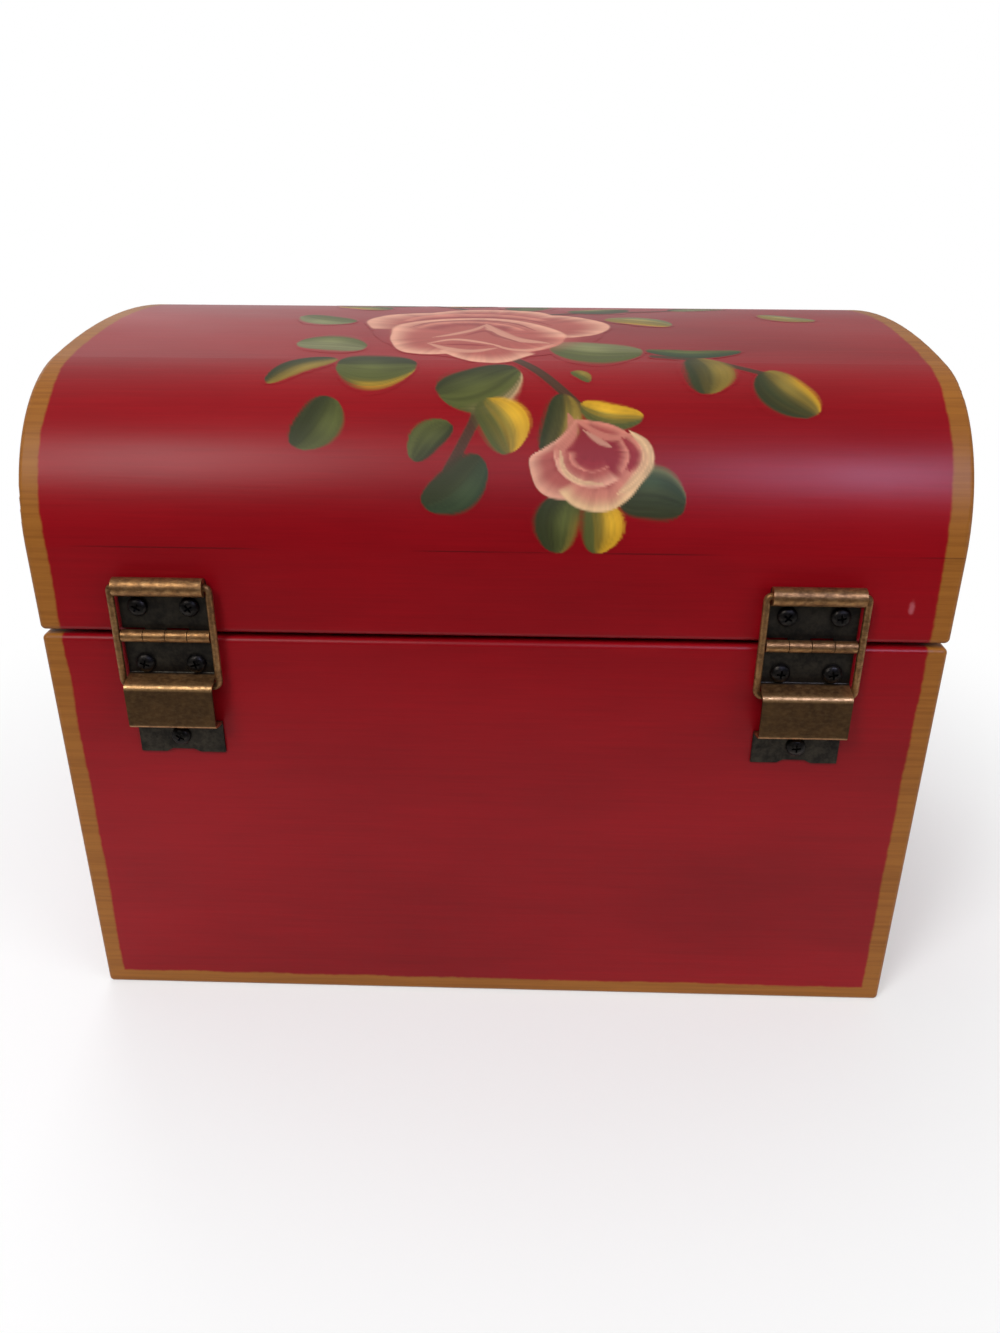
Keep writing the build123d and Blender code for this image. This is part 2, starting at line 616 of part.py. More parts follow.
def make_hook():
    """The swinging hook, hanging open, with its mouth along the stud's path about the pivot."""
    seat = Pos(0, -HOOK_REACH)
    tip_end = HOOK_REACH + HOOK_TIP_REACH
    outline = Circle(HOOK_EYE_RADIUS) + seat * Circle(HOOK_HEAD_RADIUS)
    outline += Pos(0, -HOOK_REACH / 2) * Rectangle(HOOK_ARM_WIDTH, HOOK_REACH)
    outline += Pos(0, -tip_end / 2) * Rectangle(HOOK_TAIL_WIDTH, tip_end)
    outline += Pos(0, -tip_end) * Circle(HOOK_TIP_RADIUS)
    mouth = POST_RADIUS + HOOK_MOUTH_PLAY
    swept = Circle(HOOK_REACH + mouth) - Circle(HOOK_REACH - mouth)
    swept &= Pos(-HOOK_HEAD_RADIUS, -HOOK_REACH) * Rectangle(2 * HOOK_HEAD_RADIUS, HOOK_REACH)
    outline -= seat * Circle(mouth)
    outline -= swept
    outline -= Circle(POST_RADIUS + RUNNING_CLEARANCE)
    near = PLATE + HOOK_LIFT
    return front_solid(Pos(0, HOOK_PIVOT_Z) * outline, near, near + HOOK)


def make_latch():
    parts["latch_hook_plate"] = make_latch_plate(HOOK_PIVOT_Z, HOOK_PLATE_HEIGHT)
    parts["latch_catch_plate"] = make_latch_plate(CATCH_Z, CATCH_PLATE_HEIGHT)
    parts["latch_pivot_post"] = make_post(HOOK_PIVOT_Z)
    parts["latch_catch_stud"] = make_post(CATCH_Z)
    parts["latch_hook"] = make_hook()
    for name, z in (("hook", HOOK_PIVOT_Z), ("catch", CATCH_Z)):
        screws = [make_flat_screw(x, screw_z) for x, screw_z in latch_screw_places(z)]
        parts[f"latch_{name}_screws"] = Compound(children=screws)


make_base_boards()
make_lid_boards()
make_linings()
make_tray()
make_ring_rolls()
make_hinges()
make_latch()
os.makedirs("parts", exist_ok=True)
for name, shape in parts.items():
    export_step(shape, f"parts/{name}.step")
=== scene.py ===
import math
import bmesh
import bpy
import numpy as np
from mathutils import Matrix, Vector


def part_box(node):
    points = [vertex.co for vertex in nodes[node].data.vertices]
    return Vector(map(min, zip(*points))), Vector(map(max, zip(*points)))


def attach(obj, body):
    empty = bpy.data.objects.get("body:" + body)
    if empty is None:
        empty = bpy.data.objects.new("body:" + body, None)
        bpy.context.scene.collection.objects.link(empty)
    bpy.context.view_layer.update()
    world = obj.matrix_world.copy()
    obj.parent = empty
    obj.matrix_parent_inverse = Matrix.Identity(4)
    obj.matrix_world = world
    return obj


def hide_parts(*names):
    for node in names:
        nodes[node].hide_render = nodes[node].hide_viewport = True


# A barrel-top keepsake chest in red lacquer with an ochre border, a painted folk spray of roses on
# the lid and antique bronze stop hinges. Everything is in metres in the frame's axes.

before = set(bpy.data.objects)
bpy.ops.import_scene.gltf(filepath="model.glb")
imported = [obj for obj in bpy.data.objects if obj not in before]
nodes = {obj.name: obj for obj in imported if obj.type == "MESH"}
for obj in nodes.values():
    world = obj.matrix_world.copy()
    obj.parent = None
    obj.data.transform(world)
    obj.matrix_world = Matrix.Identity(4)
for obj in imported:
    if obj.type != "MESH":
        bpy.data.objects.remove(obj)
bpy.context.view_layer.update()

# The photograph's camera
CAMERA_PLACE = (-0.00995, 0.3586, 0.2414)
CAMERA_PITCH = 0.44177
CAMERA_YAW = -0.02742
CAMERA_ROLL = 0.00515
FOCAL_PIXELS = 1050.0
IMAGE_HEIGHT = 1333.0
SENSOR = 36.0

# The studio: the floor's near edge and length, how far from the chest it turns white and how white
# it is beside it, the world's light, the dim room behind the camera and the picture's right side
FLOOR_NEAR = 0.30
FLOOR_LENGTH = 6.0
WHITE_FROM = 0.13
WHITE_AT = 0.33
WHITE_NEAR = 0.25
WORLD_LIGHT = 0.55
ROOM_SHADE = 0.12
ROOM_EDGE = 0.35
SIDE_SHADE = 0.5
SIDE_SPAN = (-0.4, 0.5)
LAMP_AIM = (0, 0.06, 0.13)

# The chest's form, as its frame has it
SHOULDER_RADIUS = 0.0445
CROWN_RADIUS = 0.313
panel_low, panel_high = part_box("lid_top_panel")
HALF_WIDTH = panel_high[0]
HALF_DEPTH = panel_high[1]
SPRING = panel_low[2]
SHOULDER_IN = HALF_DEPTH - SHOULDER_RADIUS
CROWN_CENTRE = panel_high[2] - CROWN_RADIUS
LEAN = math.atan2(SPRING - CROWN_CENTRE, SHOULDER_IN)
SHOULDER_ARC = SHOULDER_RADIUS * LEAN
CROWN_ARC = 2 * CROWN_RADIUS * (math.pi / 2 - LEAN)
SHEET = 0.0008

# The painted border along the ends and the foot: widths, how its edge wanders, and its softness
BORDER = 0.0058
FOOT_BORDER = 0.0051
EDGE_WANDER = 0.0008
EDGE_FINE_WANDER = 0.00035
EDGE_SOFT = 0.00045

# The fine joint between the lid's rail and its bent panel: its rise over the spring and half width
PANEL_JOINT_RISE = 0.0003
PANEL_JOINT = (0.00008, 0.00030)

# The hinges' leaves: how far off the wood the metal counts as raised and as the hump's face, the
# crest and the foot of the hump over the tab's end, and the half widths of the painted highlight,
# partly rubbed wear, along them. The hump's face gets painted shade.
RAISED = (0.0010, 0.0020)
HUMP_FACE_OUT = (0.0052, 0.0060)
CREST_UP = 0.0234
HUMP_FOOT_UP = 0.0110
CREST_SHINE_AND_WEAR = (0.0002, 0.0012)
FOOT_SHINE_AND_WEAR = (0.0001, 0.0006)

# A small pale scuff on the lid's back rail: its middle and half size
SCUFF_PLACE = (-0.1128, 0.1360)
SCUFF_SIZE = (0.0011, 0.0024)

# The painted spray's grid in millimetres, and how far it lies off the lid in metres
SPRAY_STEP = 0.5
SPRAY_LIFT = 0.00003
PAINT_RELIEF = 0.00003

# Colours, as they look on screen
RED_BRIGHT = (146, 8, 20)
RED_DEEP = (116, 3, 12)
OCHRE = (154, 98, 38)
OCHRE_DARK = (120, 70, 24)
JOINT_DARK = (48, 8, 10)
SCUFF_PALE = (196, 120, 128)
BRONZE_COLOURS = ((208, 164, 112), (156, 114, 70), (98, 68, 42))
STEEL_COLOURS = ((84, 78, 72), (38, 35, 33), (16, 15, 14))
SHEET_BLACK = (34, 31, 28)
SHEET_GREY = (70, 64, 54)
# the next colour is painted shade for the hinge hump's outermost face
HUMP_FACE_SHADE = (54, 39, 22)
VELVET_SHEEN = (255, 150, 160)


def linear(colour):
    """Screen values from 0 to 255 as linear light."""
    values = []
    for c in colour:
        c = c / 255
        values.append(c / 12.92 if c <= 0.04045 else ((c + 0.055) / 1.055) ** 2.4)
    return tuple(values)


def rgba(colour):
    return (*linear(colour), 1.0)


class Tree:
    """The node tree of a material or a world, with short calls for the nodes that are used here."""

    def __init__(self, owner):
        owner.use_nodes = True
        self.owner = owner
        self.nodes = owner.node_tree.nodes
        self.links = owner.node_tree.links

    def node(self, kind, **settings):
        made = self.nodes.new(kind)
        for name, value in settings.items():
            setattr(made, name, value)
        return made

    def put(self, socket, value):
        if isinstance(value, bpy.types.NodeSocket):
            self.links.new(value, socket)
        else:
            socket.default_value = value

    def math(self, operation, a, b=0.0, c=0.0, clamp=False):
        made = self.node("ShaderNodeMath", operation=operation, use_clamp=clamp)
        for socket, value in zip(made.inputs, (a, b, c)):
            self.put(socket, value)
        return made.outputs[0]

    def plus(self, a, b, clamp=False):
        return self.math("ADD", a, b, clamp=clamp)

    def minus(self, a, b):
        return self.math("SUBTRACT", a, b)

    def times(self, a, b):
        return self.math("MULTIPLY", a, b)

    def scaled(self, value, scale, shift, clamp=False):
        return self.math("MULTIPLY_ADD", value, scale, shift, clamp=clamp)

    def flip(self, value):
        return self.minus(1.0, value)

    def size(self, value):
        return self.math("ABSOLUTE", value)

    def larger(self, a, b):
        return self.math("MAXIMUM", a, b)

    def above(self, value, level):
        return self.math("GREATER_THAN", value, level)

    def distance(self, a, b):
        return self.math("SQRT", self.plus(self.math("POWER", a, 2.0), self.math("POWER", b, 2.0)))

    def choose(self, mask, a, b):
        """a where the mask is 1, and b where it is 0."""
        return self.plus(self.times(a, mask), self.times(b, self.flip(mask)))

    def ramp(self, value, low, high, smooth=True):
        """0 below low and 1 above high."""
        made = self.node("ShaderNodeMapRange")
        made.interpolation_type = "SMOOTHSTEP" if smooth else "LINEAR"
        self.put(made.inputs["Value"], value)
        made.inputs["From Min"].default_value = low
        made.inputs["From Max"].default_value = high
        return made.outputs["Result"]

    def near(self, value, place, span):
        """1 at the place, falling to 0 over the span of distances from it."""
        return self.flip(self.ramp(self.size(self.minus(value, place)), *span))

    def mix(self, factor, a, b):
        made = self.node("ShaderNodeMix", data_type="RGBA")
        self.put(made.inputs["Factor"], factor)
        self.put(made.inputs["A"], a)
        self.put(made.inputs["B"], b)
        return made.outputs["Result"]

    def split(self, vector):
        made = self.node("ShaderNodeSeparateXYZ")
        self.links.new(vector, made.inputs[0])
        return made.outputs


class Coat(Tree):
    """A material's tree, placed by the object's own coordinates."""

    def __init__(self, name):
        super().__init__(bpy.data.materials.new(name))
        self.shader = self.nodes["Principled BSDF"]
        self.object = self.node("ShaderNodeTexCoord").outputs["Object"]

    def noise(self, scale, stretch=(1, 1, 1), detail=3.0, rough=0.55, shift=(0, 0, 0)):
        place = self.node("ShaderNodeMapping")
        self.links.new(self.object, place.inputs["Vector"])
        place.inputs["Scale"].default_value = stretch
        place.inputs["Location"].default_value = shift
        made = self.node("ShaderNodeTexNoise")
        self.links.new(place.outputs[0], made.inputs["Vector"])
        made.inputs["Scale"].default_value = scale
        made.inputs["Detail"].default_value = detail
        made.inputs["Roughness"].default_value = rough
        return made.outputs[0]

    def bump(self, height, strength, distance):
        made = self.node("ShaderNodeBump")
        self.put(made.inputs["Height"], height)
        made.inputs["Strength"].default_value = strength
        made.inputs["Distance"].default_value = distance
        return made.outputs[0]

    def finish(self, **inputs):
        for name, value in inputs.items():
            self.put(self.shader.inputs[name.replace("_", " ")], value)
        return self.owner


def border_mask(tree, x, y, z):
    """1 in the ochre border along the ends and the foot, with a soft hand-painted inner edge."""
    wander = tree.scaled(tree.noise(55, detail=2), 2 * EDGE_WANDER, -EDGE_WANDER)
    fine = tree.scaled(tree.noise(420, detail=2), 2 * EDGE_FINE_WANDER, -EDGE_FINE_WANDER)
    foot = tree.minus(FOOT_BORDER, z)
    long_face = tree.larger(tree.minus(tree.size(x), HALF_WIDTH - BORDER), foot)
    depth = tree.size(y)
    low = tree.minus(depth, HALF_DEPTH - BORDER)
    reach_y = tree.larger(tree.minus(depth, SHOULDER_IN), 0.0)
    reach_z = tree.larger(tree.minus(z, SPRING), 0.0)
    shoulder = tree.minus(tree.distance(reach_y, reach_z), SHOULDER_RADIUS - BORDER)
    from_crown = tree.minus(z, CROWN_CENTRE)
    crown = tree.minus(tree.distance(y, from_crown), CROWN_RADIUS - BORDER)
    on_crown = tree.above(tree.minus(from_crown, tree.times(depth, math.tan(LEAN))), 0.0)
    curved = tree.choose(on_crown, crown, shoulder)
    end_face = tree.choose(tree.above(z, SPRING), curved, low)
    end_face = tree.larger(end_face, foot)
    normal = tree.node("ShaderNodeNewGeometry").outputs["Normal"]
    across = tree.node("ShaderNodeVectorTransform", vector_type="NORMAL")
    across.convert_from = "WORLD"
    across.convert_to = "OBJECT"
    tree.links.new(normal, across.inputs[0])
    end_on = tree.above(tree.size(tree.split(across.outputs[0])[0]), 0.7)
    inside = tree.choose(end_on, end_face, long_face)
    return tree.ramp(tree.plus(inside, tree.plus(wander, fine)), -EDGE_SOFT, EDGE_SOFT)


def scuff_mask(tree, x, y, z):
    """1 in the small pale scuff on the back, with a ragged edge."""
    away_x = tree.math("DIVIDE", tree.minus(x, SCUFF_PLACE[0]), SCUFF_SIZE[0])
    away_z = tree.math("DIVIDE", tree.minus(z, SCUFF_PLACE[1]), SCUFF_SIZE[1])
    ragged = tree.plus(tree.distance(away_x, away_z), tree.noise(600, detail=3))
    return tree.times(tree.flip(tree.ramp(ragged, 0.7, 1.6)), tree.above(y, 0.0))


def lacquer_colour(tree):
    """The red stain over the grain and the ochre border, as (colour, height, border)."""
    x, y, z = tree.split(tree.object)
    grain = tree.noise(1.0, (22, 760, 760), detail=5, rough=0.66)
    fibre = tree.noise(1.0, (60, 2600, 2600), detail=3, rough=0.6, shift=(3, 1, 2))
    cloud = tree.noise(1.0, (9, 26, 26), detail=3, rough=0.5, shift=(5, 2, 7))
    shade = tree.scaled(grain, 0.62, tree.scaled(fibre, 0.55, -0.58))
    shade = tree.plus(shade, tree.scaled(cloud, 1.5, -0.32), clamp=True)
    red = tree.mix(shade, rgba(RED_DEEP), rgba(RED_BRIGHT))
    lines = tree.ramp(grain, 0.30, 0.66)
    brushed = tree.scaled(lines, 0.5, tree.times(cloud, 0.55), clamp=True)
    ochre = tree.mix(brushed, rgba(OCHRE_DARK), rgba(OCHRE))
    border = border_mask(tree, x, y, z)
    colour = tree.mix(border, red, ochre)
    joint = tree.near(z, SPRING + PANEL_JOINT_RISE, PANEL_JOINT)
    opened = tree.ramp(tree.noise(22, (1, 1, 0.01), detail=2, shift=(1.3, 0, 0)), 0.42, 0.62)
    joint = tree.times(joint, tree.times(opened, 0.6))
    colour = tree.mix(joint, colour, rgba(JOINT_DARK))
    colour = tree.mix(tree.times(scuff_mask(tree, x, y, z), 0.40), colour, rgba(SCUFF_PALE))
    height = tree.scaled(grain, 0.7, tree.times(fibre, 0.3))
    height = tree.minus(height, tree.times(joint, 0.8))
    return colour, height, border


def lacquer_material():
    tree = Coat("red lacquer over grain")
    colour, height, border = lacquer_colour(tree)
    smear = tree.noise(30, (0.5, 1, 1), detail=3, shift=(8, 8, 1))
    return tree.finish(
        Base_Color=colour,
        Roughness=tree.plus(tree.scaled(smear, 0.14, 0.30), tree.times(border, 0.06)),
        Specular_IOR_Level=0.2,
        Normal=tree.bump(height, 0.16, 0.00025),
    )


def painted_material():
    """Brush paint over the same lacquer: the paint and its cover are on the mesh's points."""
    tree = Coat("painted spray")
    colour, height, border = lacquer_colour(tree)
    paint = tree.node("ShaderNodeAttribute", attribute_name="paint").outputs["Color"]
    cover = tree.node("ShaderNodeAttribute", attribute_name="cover").outputs["Fac"]
    drag = tree.noise(1.0, (240, 1500, 1500), detail=3, shift=(2, 9, 4))
    cover = tree.ramp(tree.scaled(drag, 0.22, tree.minus(cover, 0.11)), 0.06, 0.88)
    return tree.finish(
        Base_Color=tree.mix(cover, colour, paint),
        Roughness=tree.scaled(cover, 0.10, 0.36),
        Specular_IOR_Level=0.2,
        Normal=tree.bump(tree.scaled(drag, 0.5, height), 0.16, 0.00025),
    )


def folded_colour(tree, colour, patina, shade, bright, hump):
    """A leaf's colour: nearly black sheet near the wood, and folds that are rubbed bright. On a hump,
    painted shade darkens its face, and a painted highlight, partly rubbed wear, brightens its crest
    and foot. hump is (crest_z, foot_z) where the leaf has one."""
    x, y, z = tree.split(tree.object)
    raised = tree.ramp(y, back_y + RAISED[0], back_y + RAISED[1])
    if hump:
        # painted highlight, partly rubbed wear: the hump's crest and foot are mixed towards the bright
        # colour
        crest = tree.near(z, hump[0], CREST_SHINE_AND_WEAR)
        foot = tree.near(z, hump[1], FOOT_SHINE_AND_WEAR)
        shine_and_wear = tree.times(tree.plus(crest, tree.times(foot, 0.7), clamp=True), raised)
        # painted shade: the hump's face, away from its crest and foot, is darkened towards a dark brown
        face = tree.ramp(y, back_y + HUMP_FACE_OUT[0], back_y + HUMP_FACE_OUT[1])
        face = tree.times(face, tree.flip(shine_and_wear))
        colour = tree.mix(tree.times(face, 0.80), colour, rgba(HUMP_FACE_SHADE))
        mottled_shine_and_wear = tree.times(shine_and_wear, tree.scaled(patina, 0.5, 0.4))
        colour = tree.mix(mottled_shine_and_wear, colour, rgba(bright))
    sheet = tree.mix(tree.times(shade, 0.8), rgba(SHEET_BLACK), rgba(SHEET_GREY))
    return tree.mix(raised, sheet, colour)


def metal_material(name, colours, roughness=0.40, leaf=False, hump=None):
    """Antiqued metal in a bright, a middle and a dark colour, the leaves of the hinges with folds."""
    tree = Coat(name)
    bright, middle, dark = colours
    patina = tree.ramp(tree.noise(620, detail=5, rough=0.68), 0.36, 0.66)
    cloud = tree.ramp(tree.noise(190, detail=3, shift=(2, 5, 1)), 0.35, 0.70)
    rub = tree.ramp(tree.noise(1100, (0.5, 1, 1), detail=3, shift=(4, 0, 2)), 0.40, 0.80)
    shade = tree.scaled(cloud, 0.45, tree.times(patina, 0.55), clamp=True)
    colour = tree.mix(shade, rgba(dark), rgba(middle))
    colour = tree.mix(tree.times(rub, 0.40), colour, rgba(bright))
    if leaf:
        colour = folded_colour(tree, colour, patina, shade, bright, hump)
    height = tree.plus(tree.noise(1500, detail=2), tree.times(patina, 0.6))
    return tree.finish(
        Base_Color=colour,
        Metallic=0.9,
        Roughness=tree.scaled(patina, -0.10, roughness + 0.1),
        Normal=tree.bump(height, 0.12, 0.00012),
    )


def velvet_material(name, deep, bright):
    tree = Coat(name)
    pile = tree.noise(2600, detail=2)
    crush = tree.noise(34, detail=4, rough=0.6)
    colour = tree.mix(tree.ramp(crush, 0.35, 0.7), rgba(deep), rgba(bright))
    colour = tree.mix(tree.times(pile, 0.25), colour, rgba([c * 0.55 for c in deep]))
    tree.shader.inputs["Sheen Weight"].default_value = 0.8
    tree.shader.inputs["Sheen Roughness"].default_value = 0.4
    tree.shader.inputs["Sheen Tint"].default_value = rgba(VELVET_SHEEN)
    return tree.finish(
        Base_Color=colour,
        Roughness=0.9,
        Specular_IOR_Level=0.1,
        Normal=tree.bump(tree.plus(pile, tree.times(crush, 0.8)), 0.5, 0.0004),
    )


def wood_material(name, dark, light, gloss=0.45):
    tree = Coat(name)
    grain = tree.noise(1.0, (16, 420, 420), detail=5, rough=0.6, shift=(1, 4, 6))
    fibre = tree.noise(1.0, (70, 2400, 2400), detail=2)
    lines = tree.scaled(tree.ramp(grain, 0.3, 0.7), 0.8, -0.08)
    return tree.finish(
        Base_Color=tree.mix(tree.scaled(fibre, 0.3, lines, clamp=True), rgba(dark), rgba(light)),
        Roughness=tree.scaled(grain, 0.15, gloss),
        Specular_IOR_Level=0.35,
        Normal=tree.bump(grain, 0.2, 0.0003),
    )


def paint_node(node, material):
    mesh = nodes[node].data
    for i in range(len(mesh.materials)):
        mesh.materials[i] = material
    if not mesh.materials:
        mesh.materials.append(material)


back_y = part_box("base_back_board")[1][1]
tab_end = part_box("hinge_left_lower_leaf")[0][2]
HUMP = (tab_end + CREST_UP, tab_end + HUMP_FOOT_UP)
RED = lacquer_material()
BRONZE = metal_material("antique bronze", BRONZE_COLOURS)
UPPER_BRONZE = metal_material("antique bronze upper leaf", BRONZE_COLOURS, leaf=True)
LOWER_BRONZE = metal_material("antique bronze lower leaf", BRONZE_COLOURS, leaf=True, hump=HUMP)
BLACK_STEEL = metal_material("blackened screw", STEEL_COLOURS, roughness=0.36)
VELVET = velvet_material("velvet", (76, 8, 20), (104, 14, 30))
TRAY_WOOD = wood_material("stained tray wood", (70, 14, 12), (108, 30, 22))
PLAIN_WOOD = wood_material("plain board", (120, 84, 52), (158, 118, 78), 0.6)

for name in nodes:
    if name.endswith(("_lining", "_linings", "_pads", "_rolls")):
        paint_node(name, VELVET)
    elif name.endswith("_screws"):
        paint_node(name, BLACK_STEEL)
    elif name.endswith("_upper_leaf"):
        paint_node(name, UPPER_BRONZE)
    elif name.endswith("_lower_leaf"):
        paint_node(name, LOWER_BRONZE)
    elif name.startswith(("hinge_", "latch_")):
        paint_node(name, BRONZE)
    elif name.startswith("tray_"):
        paint_node(name, TRAY_WOOD)
    elif name == "base_bottom_board":
        paint_node(name, PLAIN_WOOD)
    else:
        paint_node(name, RED)


# The painted spray on the unrolled lid, in millimetres: x in the frame, and the way up over the
# lid from the height where its back starts to curve (the crown is at 121). Colours are screen values.
DARK_GREEN = (48, 52, 28)
GREEN = (76, 80, 38)
BLUE_GREEN = (46, 60, 38)
GREY_GREEN = (108, 108, 72)
OLIVE = (126, 104, 42)
YELLOW = (198, 150, 36)
CREAM = (206, 168, 128)
PALE_PINK = (198, 142, 120)
PINK = (184, 112, 96)
ROSE = (156, 76, 68)
DEEP_ROSE = (128, 30, 38)
BARK = (70, 44, 30)

# base, tip, half width, colour on the left of the way from base to tip, colour on its right, a
# pale edge's colour and its side (1 left, -1 right), or None
LEAVES = [
    ((44, 62), (62, 48), 4.4, DARK_GREEN, OLIVE, None),
    ((58, 76), (37, 71), 7.5, GREY_GREEN, GREEN, None),
    ((44, 58), (21, 57), 10.0, GREEN, DARK_GREEN, (YELLOW, 1)),
    ((43, 43), (52, 27), 7.0, DARK_GREEN, GREEN, None),
    ((15, 44), (-7, 56), 10.4, GREEN, DARK_GREEN, (CREAM, 1)),
    ((2, 43), (-5, 26), 7.6, GREEN, YELLOW, None),
    ((11, 35), (21, 24), 4.8, GREEN, DARK_GREEN, None),
    ((2, 25), (18, 12), 6.6, DARK_GREEN, BLUE_GREEN, None),
    ((-15, 74), (-42, 69), 9.6, GREEN, GREY_GREEN, None),
    ((-21, 55), (-26, 50), 2.2, GREEN, OLIVE, None),
    ((-42, 71), (-70, 71), 3.6, BLUE_GREEN, GREEN, None),
    ((-56, 65), (-57, 45), 7.4, DARK_GREEN, OLIVE, None),
    ((-73, 56), (-85, 38), 7.8, DARK_GREEN, OLIVE, (YELLOW, -1)),
    ((-33, 110), (-53, 99), 6.8, OLIVE, GREY_GREEN, (YELLOW, 1)),
    ((-83, 121), (-99, 109), 5.4, OLIVE, GREY_GREEN, None),
    ((45, 100), (63, 112), 7.0, GREEN, GREY_GREEN, None),
    ((38, 128), (56, 142), 7.4, GREEN, OLIVE, (YELLOW, -1)),
    ((-6, 128), (-14, 146), 8.4, GREEN, DARK_GREEN, None),
    ((-22, 124), (-42, 136), 8.0, DARK_GREEN, GREEN, (CREAM, -1)),
    ((-56, 132), (-76, 144), 6.4, GREY_GREEN, DARK_GREEN, None),
    ((18, 144), (4, 158), 6.6, DARK_GREEN, YELLOW, None),
    ((28, 148), (46, 154), 6.2, GREEN, DARK_GREEN, None),
    ((44, 166), (60, 158), 5.6, YELLOW, GREEN, None),
    ((16, 170), (1, 178), 6.6, BLUE_GREEN, GREEN, (CREAM, 1)),
    ((26, 184), (18, 197), 6.0, GREEN, DARK_GREEN, None),
    ((36, 184), (44, 197), 5.6, GREEN, YELLOW, None),
]
LOW_LEAVES = [
    ((-19, 45), (-14, 26), 5.8, DARK_GREEN, OLIVE, None),
    ((-23, 41), (-40, 37), 4.6, GREEN, YELLOW, None),
    ((-33, 16), (-51, 13), 7.8, DARK_GREEN, BLUE_GREEN, (GREY_GREEN, -1)),
    ((-20, 16), (-17, 0), 6.4, DARK_GREEN, GREEN, (OLIVE, -1)),
    ((-28, 15), (-28, 0), 6.0, GREEN, YELLOW, None),
]

# points along the stroke, half width
STEMS = [
    ([(-4, 64), (-11, 56), (-17, 48), (-23, 40)], 1.6),
    ([(3, 42), (5, 35), (8, 28), (11, 22)], 1.6),
    ([(-44, 66), (-58, 63), (-67, 58), (-76, 53)], 1.2),
    ([(8, 118), (14, 134), (22, 148), (28, 164)], 1.5),
    ([(-16, 118), (-30, 124), (-46, 128), (-60, 134)], 1.2),
]

# pivot, outer edge, outer colour, inner colour, how far in the stroke reaches
BIG_ROSE = [
    ((6, 92), [(38, 90), (41, 104), (33, 116), (20, 120), (8, 117)], PALE_PINK, ROSE, 0.5),
    ((-4, 94), [(-8, 114), (-18, 116), (-27, 110), (-34, 99), (-30, 88), (-20, 82)], PALE_PINK, ROSE, 0.5),
    ((2, 98), [(24, 118), (14, 128), (0, 130), (-12, 124), (-18, 112)], PALE_PINK, ROSE, 0.5),
    ((8, 98), [(31, 102), (24, 113), (10, 118), (-4, 115), (-16, 105)], PINK, ROSE, 0.55),
    (
        (6, 86),
        [(32, 84), (31, 97), (20, 106), (6, 109), (-6, 105), (-15, 95), (-20, 85), (-16, 76)],
        PALE_PINK, ROSE, 0.3,
    ),
    ((8, 88), [(26, 92), (20, 100), (8, 103), (-2, 99), (-9, 90)], PINK, DEEP_ROSE, 0.62),
    ((12, 84), [(32, 90), (31, 78), (27, 69), (20, 66), (12, 67)], PALE_PINK, ROSE, 0.35),
    ((-2, 82), [(6, 66), (-4, 67), (-12, 70), (-18, 76), (-20, 85)], PINK, ROSE, 0.4),
    ((4, 80), [(17, 70), (10, 63), (3, 60), (-4, 61), (-12, 68)], PALE_PINK, ROSE, 0.4),
]
BIG_ROSE_LINES = [
    ([(19, 82), (13, 86), (7, 92), (4, 99)], 1.2, PALE_PINK),
    ([(4, 99), (1, 90), (-5, 81), (-15, 77)], 2.6, PALE_PINK),
    ([(20, 76), (13, 80), (6, 78), (-1, 74)], 1.1, PALE_PINK),
    ([(20, 76), (14, 71), (7, 69), (0, 72)], 1.6, PALE_PINK),
    ([(2, 76), (-4, 71), (-11, 71), (-17, 77)], 1.0, PALE_PINK),
    ([(31, 99), (21, 108), (6, 111), (-8, 107), (-16, 98)], 1.0, DEEP_ROSE),
    ([(27, 94), (20, 102), (7, 105), (-4, 101), (-11, 91)], 0.9, DEEP_ROSE),
    ([(10, 84), (4, 90), (0, 84), (-7, 77)], 1.1, DEEP_ROSE),
    ([(16, 75), (9, 75), (3, 74)], 1.0, DEEP_ROSE),
]
SMALL_ROSE = [
    ((-27, 26), [(-20, 36), (-26, 36), (-33, 34), (-38, 30), (-41, 25), (-38, 19)], PINK, DEEP_ROSE, 0.45),
    (
        (-22, 26),
        [(-23, 38), (-19, 32), (-14, 28), (-10, 25), (-11, 19), (-15, 15), (-22, 14)],
        PALE_PINK, ROSE, 0.45,
    ),
    ((-29, 24), [(-17, 17), (-22, 12.5), (-30, 11.5), (-36, 15), (-41, 22)], CREAM, PINK, 0.5),
    ((-27, 27), [(-34, 31), (-36, 26), (-34, 21)], PINK, DEEP_ROSE, 0.6),
    ((-26, 27), [(-16, 28), (-17.5, 22), (-22, 18.5), (-28, 17.5), (-34, 20)], PALE_PINK, ROSE, 0.45),
    ((-27, 28), [(-20, 27), (-21, 23.5), (-26, 21.5), (-31, 23)], PINK, DEEP_ROSE, 0.4),
]
SMALL_ROSE_LINES = [
    ([(-20, 38), (-21, 33), (-18, 28), (-17, 25)], 1.8, PINK),
    ([(-22, 36), (-28, 32), (-32, 31), (-36, 32)], 1.2, PINK),
    ([(-24, 33), (-28, 30), (-31, 28.5)], 0.9, PALE_PINK),
    ([(-36, 33), (-40, 29), (-40.5, 24), (-37, 19), (-33, 16)], 1.9, CREAM),
    ([(-34, 31), (-37, 27), (-36, 22)], 1.3, DEEP_ROSE),
    ([(-18, 27), (-19, 22), (-23, 19), (-29, 18.5)], 0.8, CREAM),
    ([(-22, 25), (-26, 23), (-31, 24)], 1.4, DEEP_ROSE),
]
FRONT_ROSE_SHIFT = (58, 148)


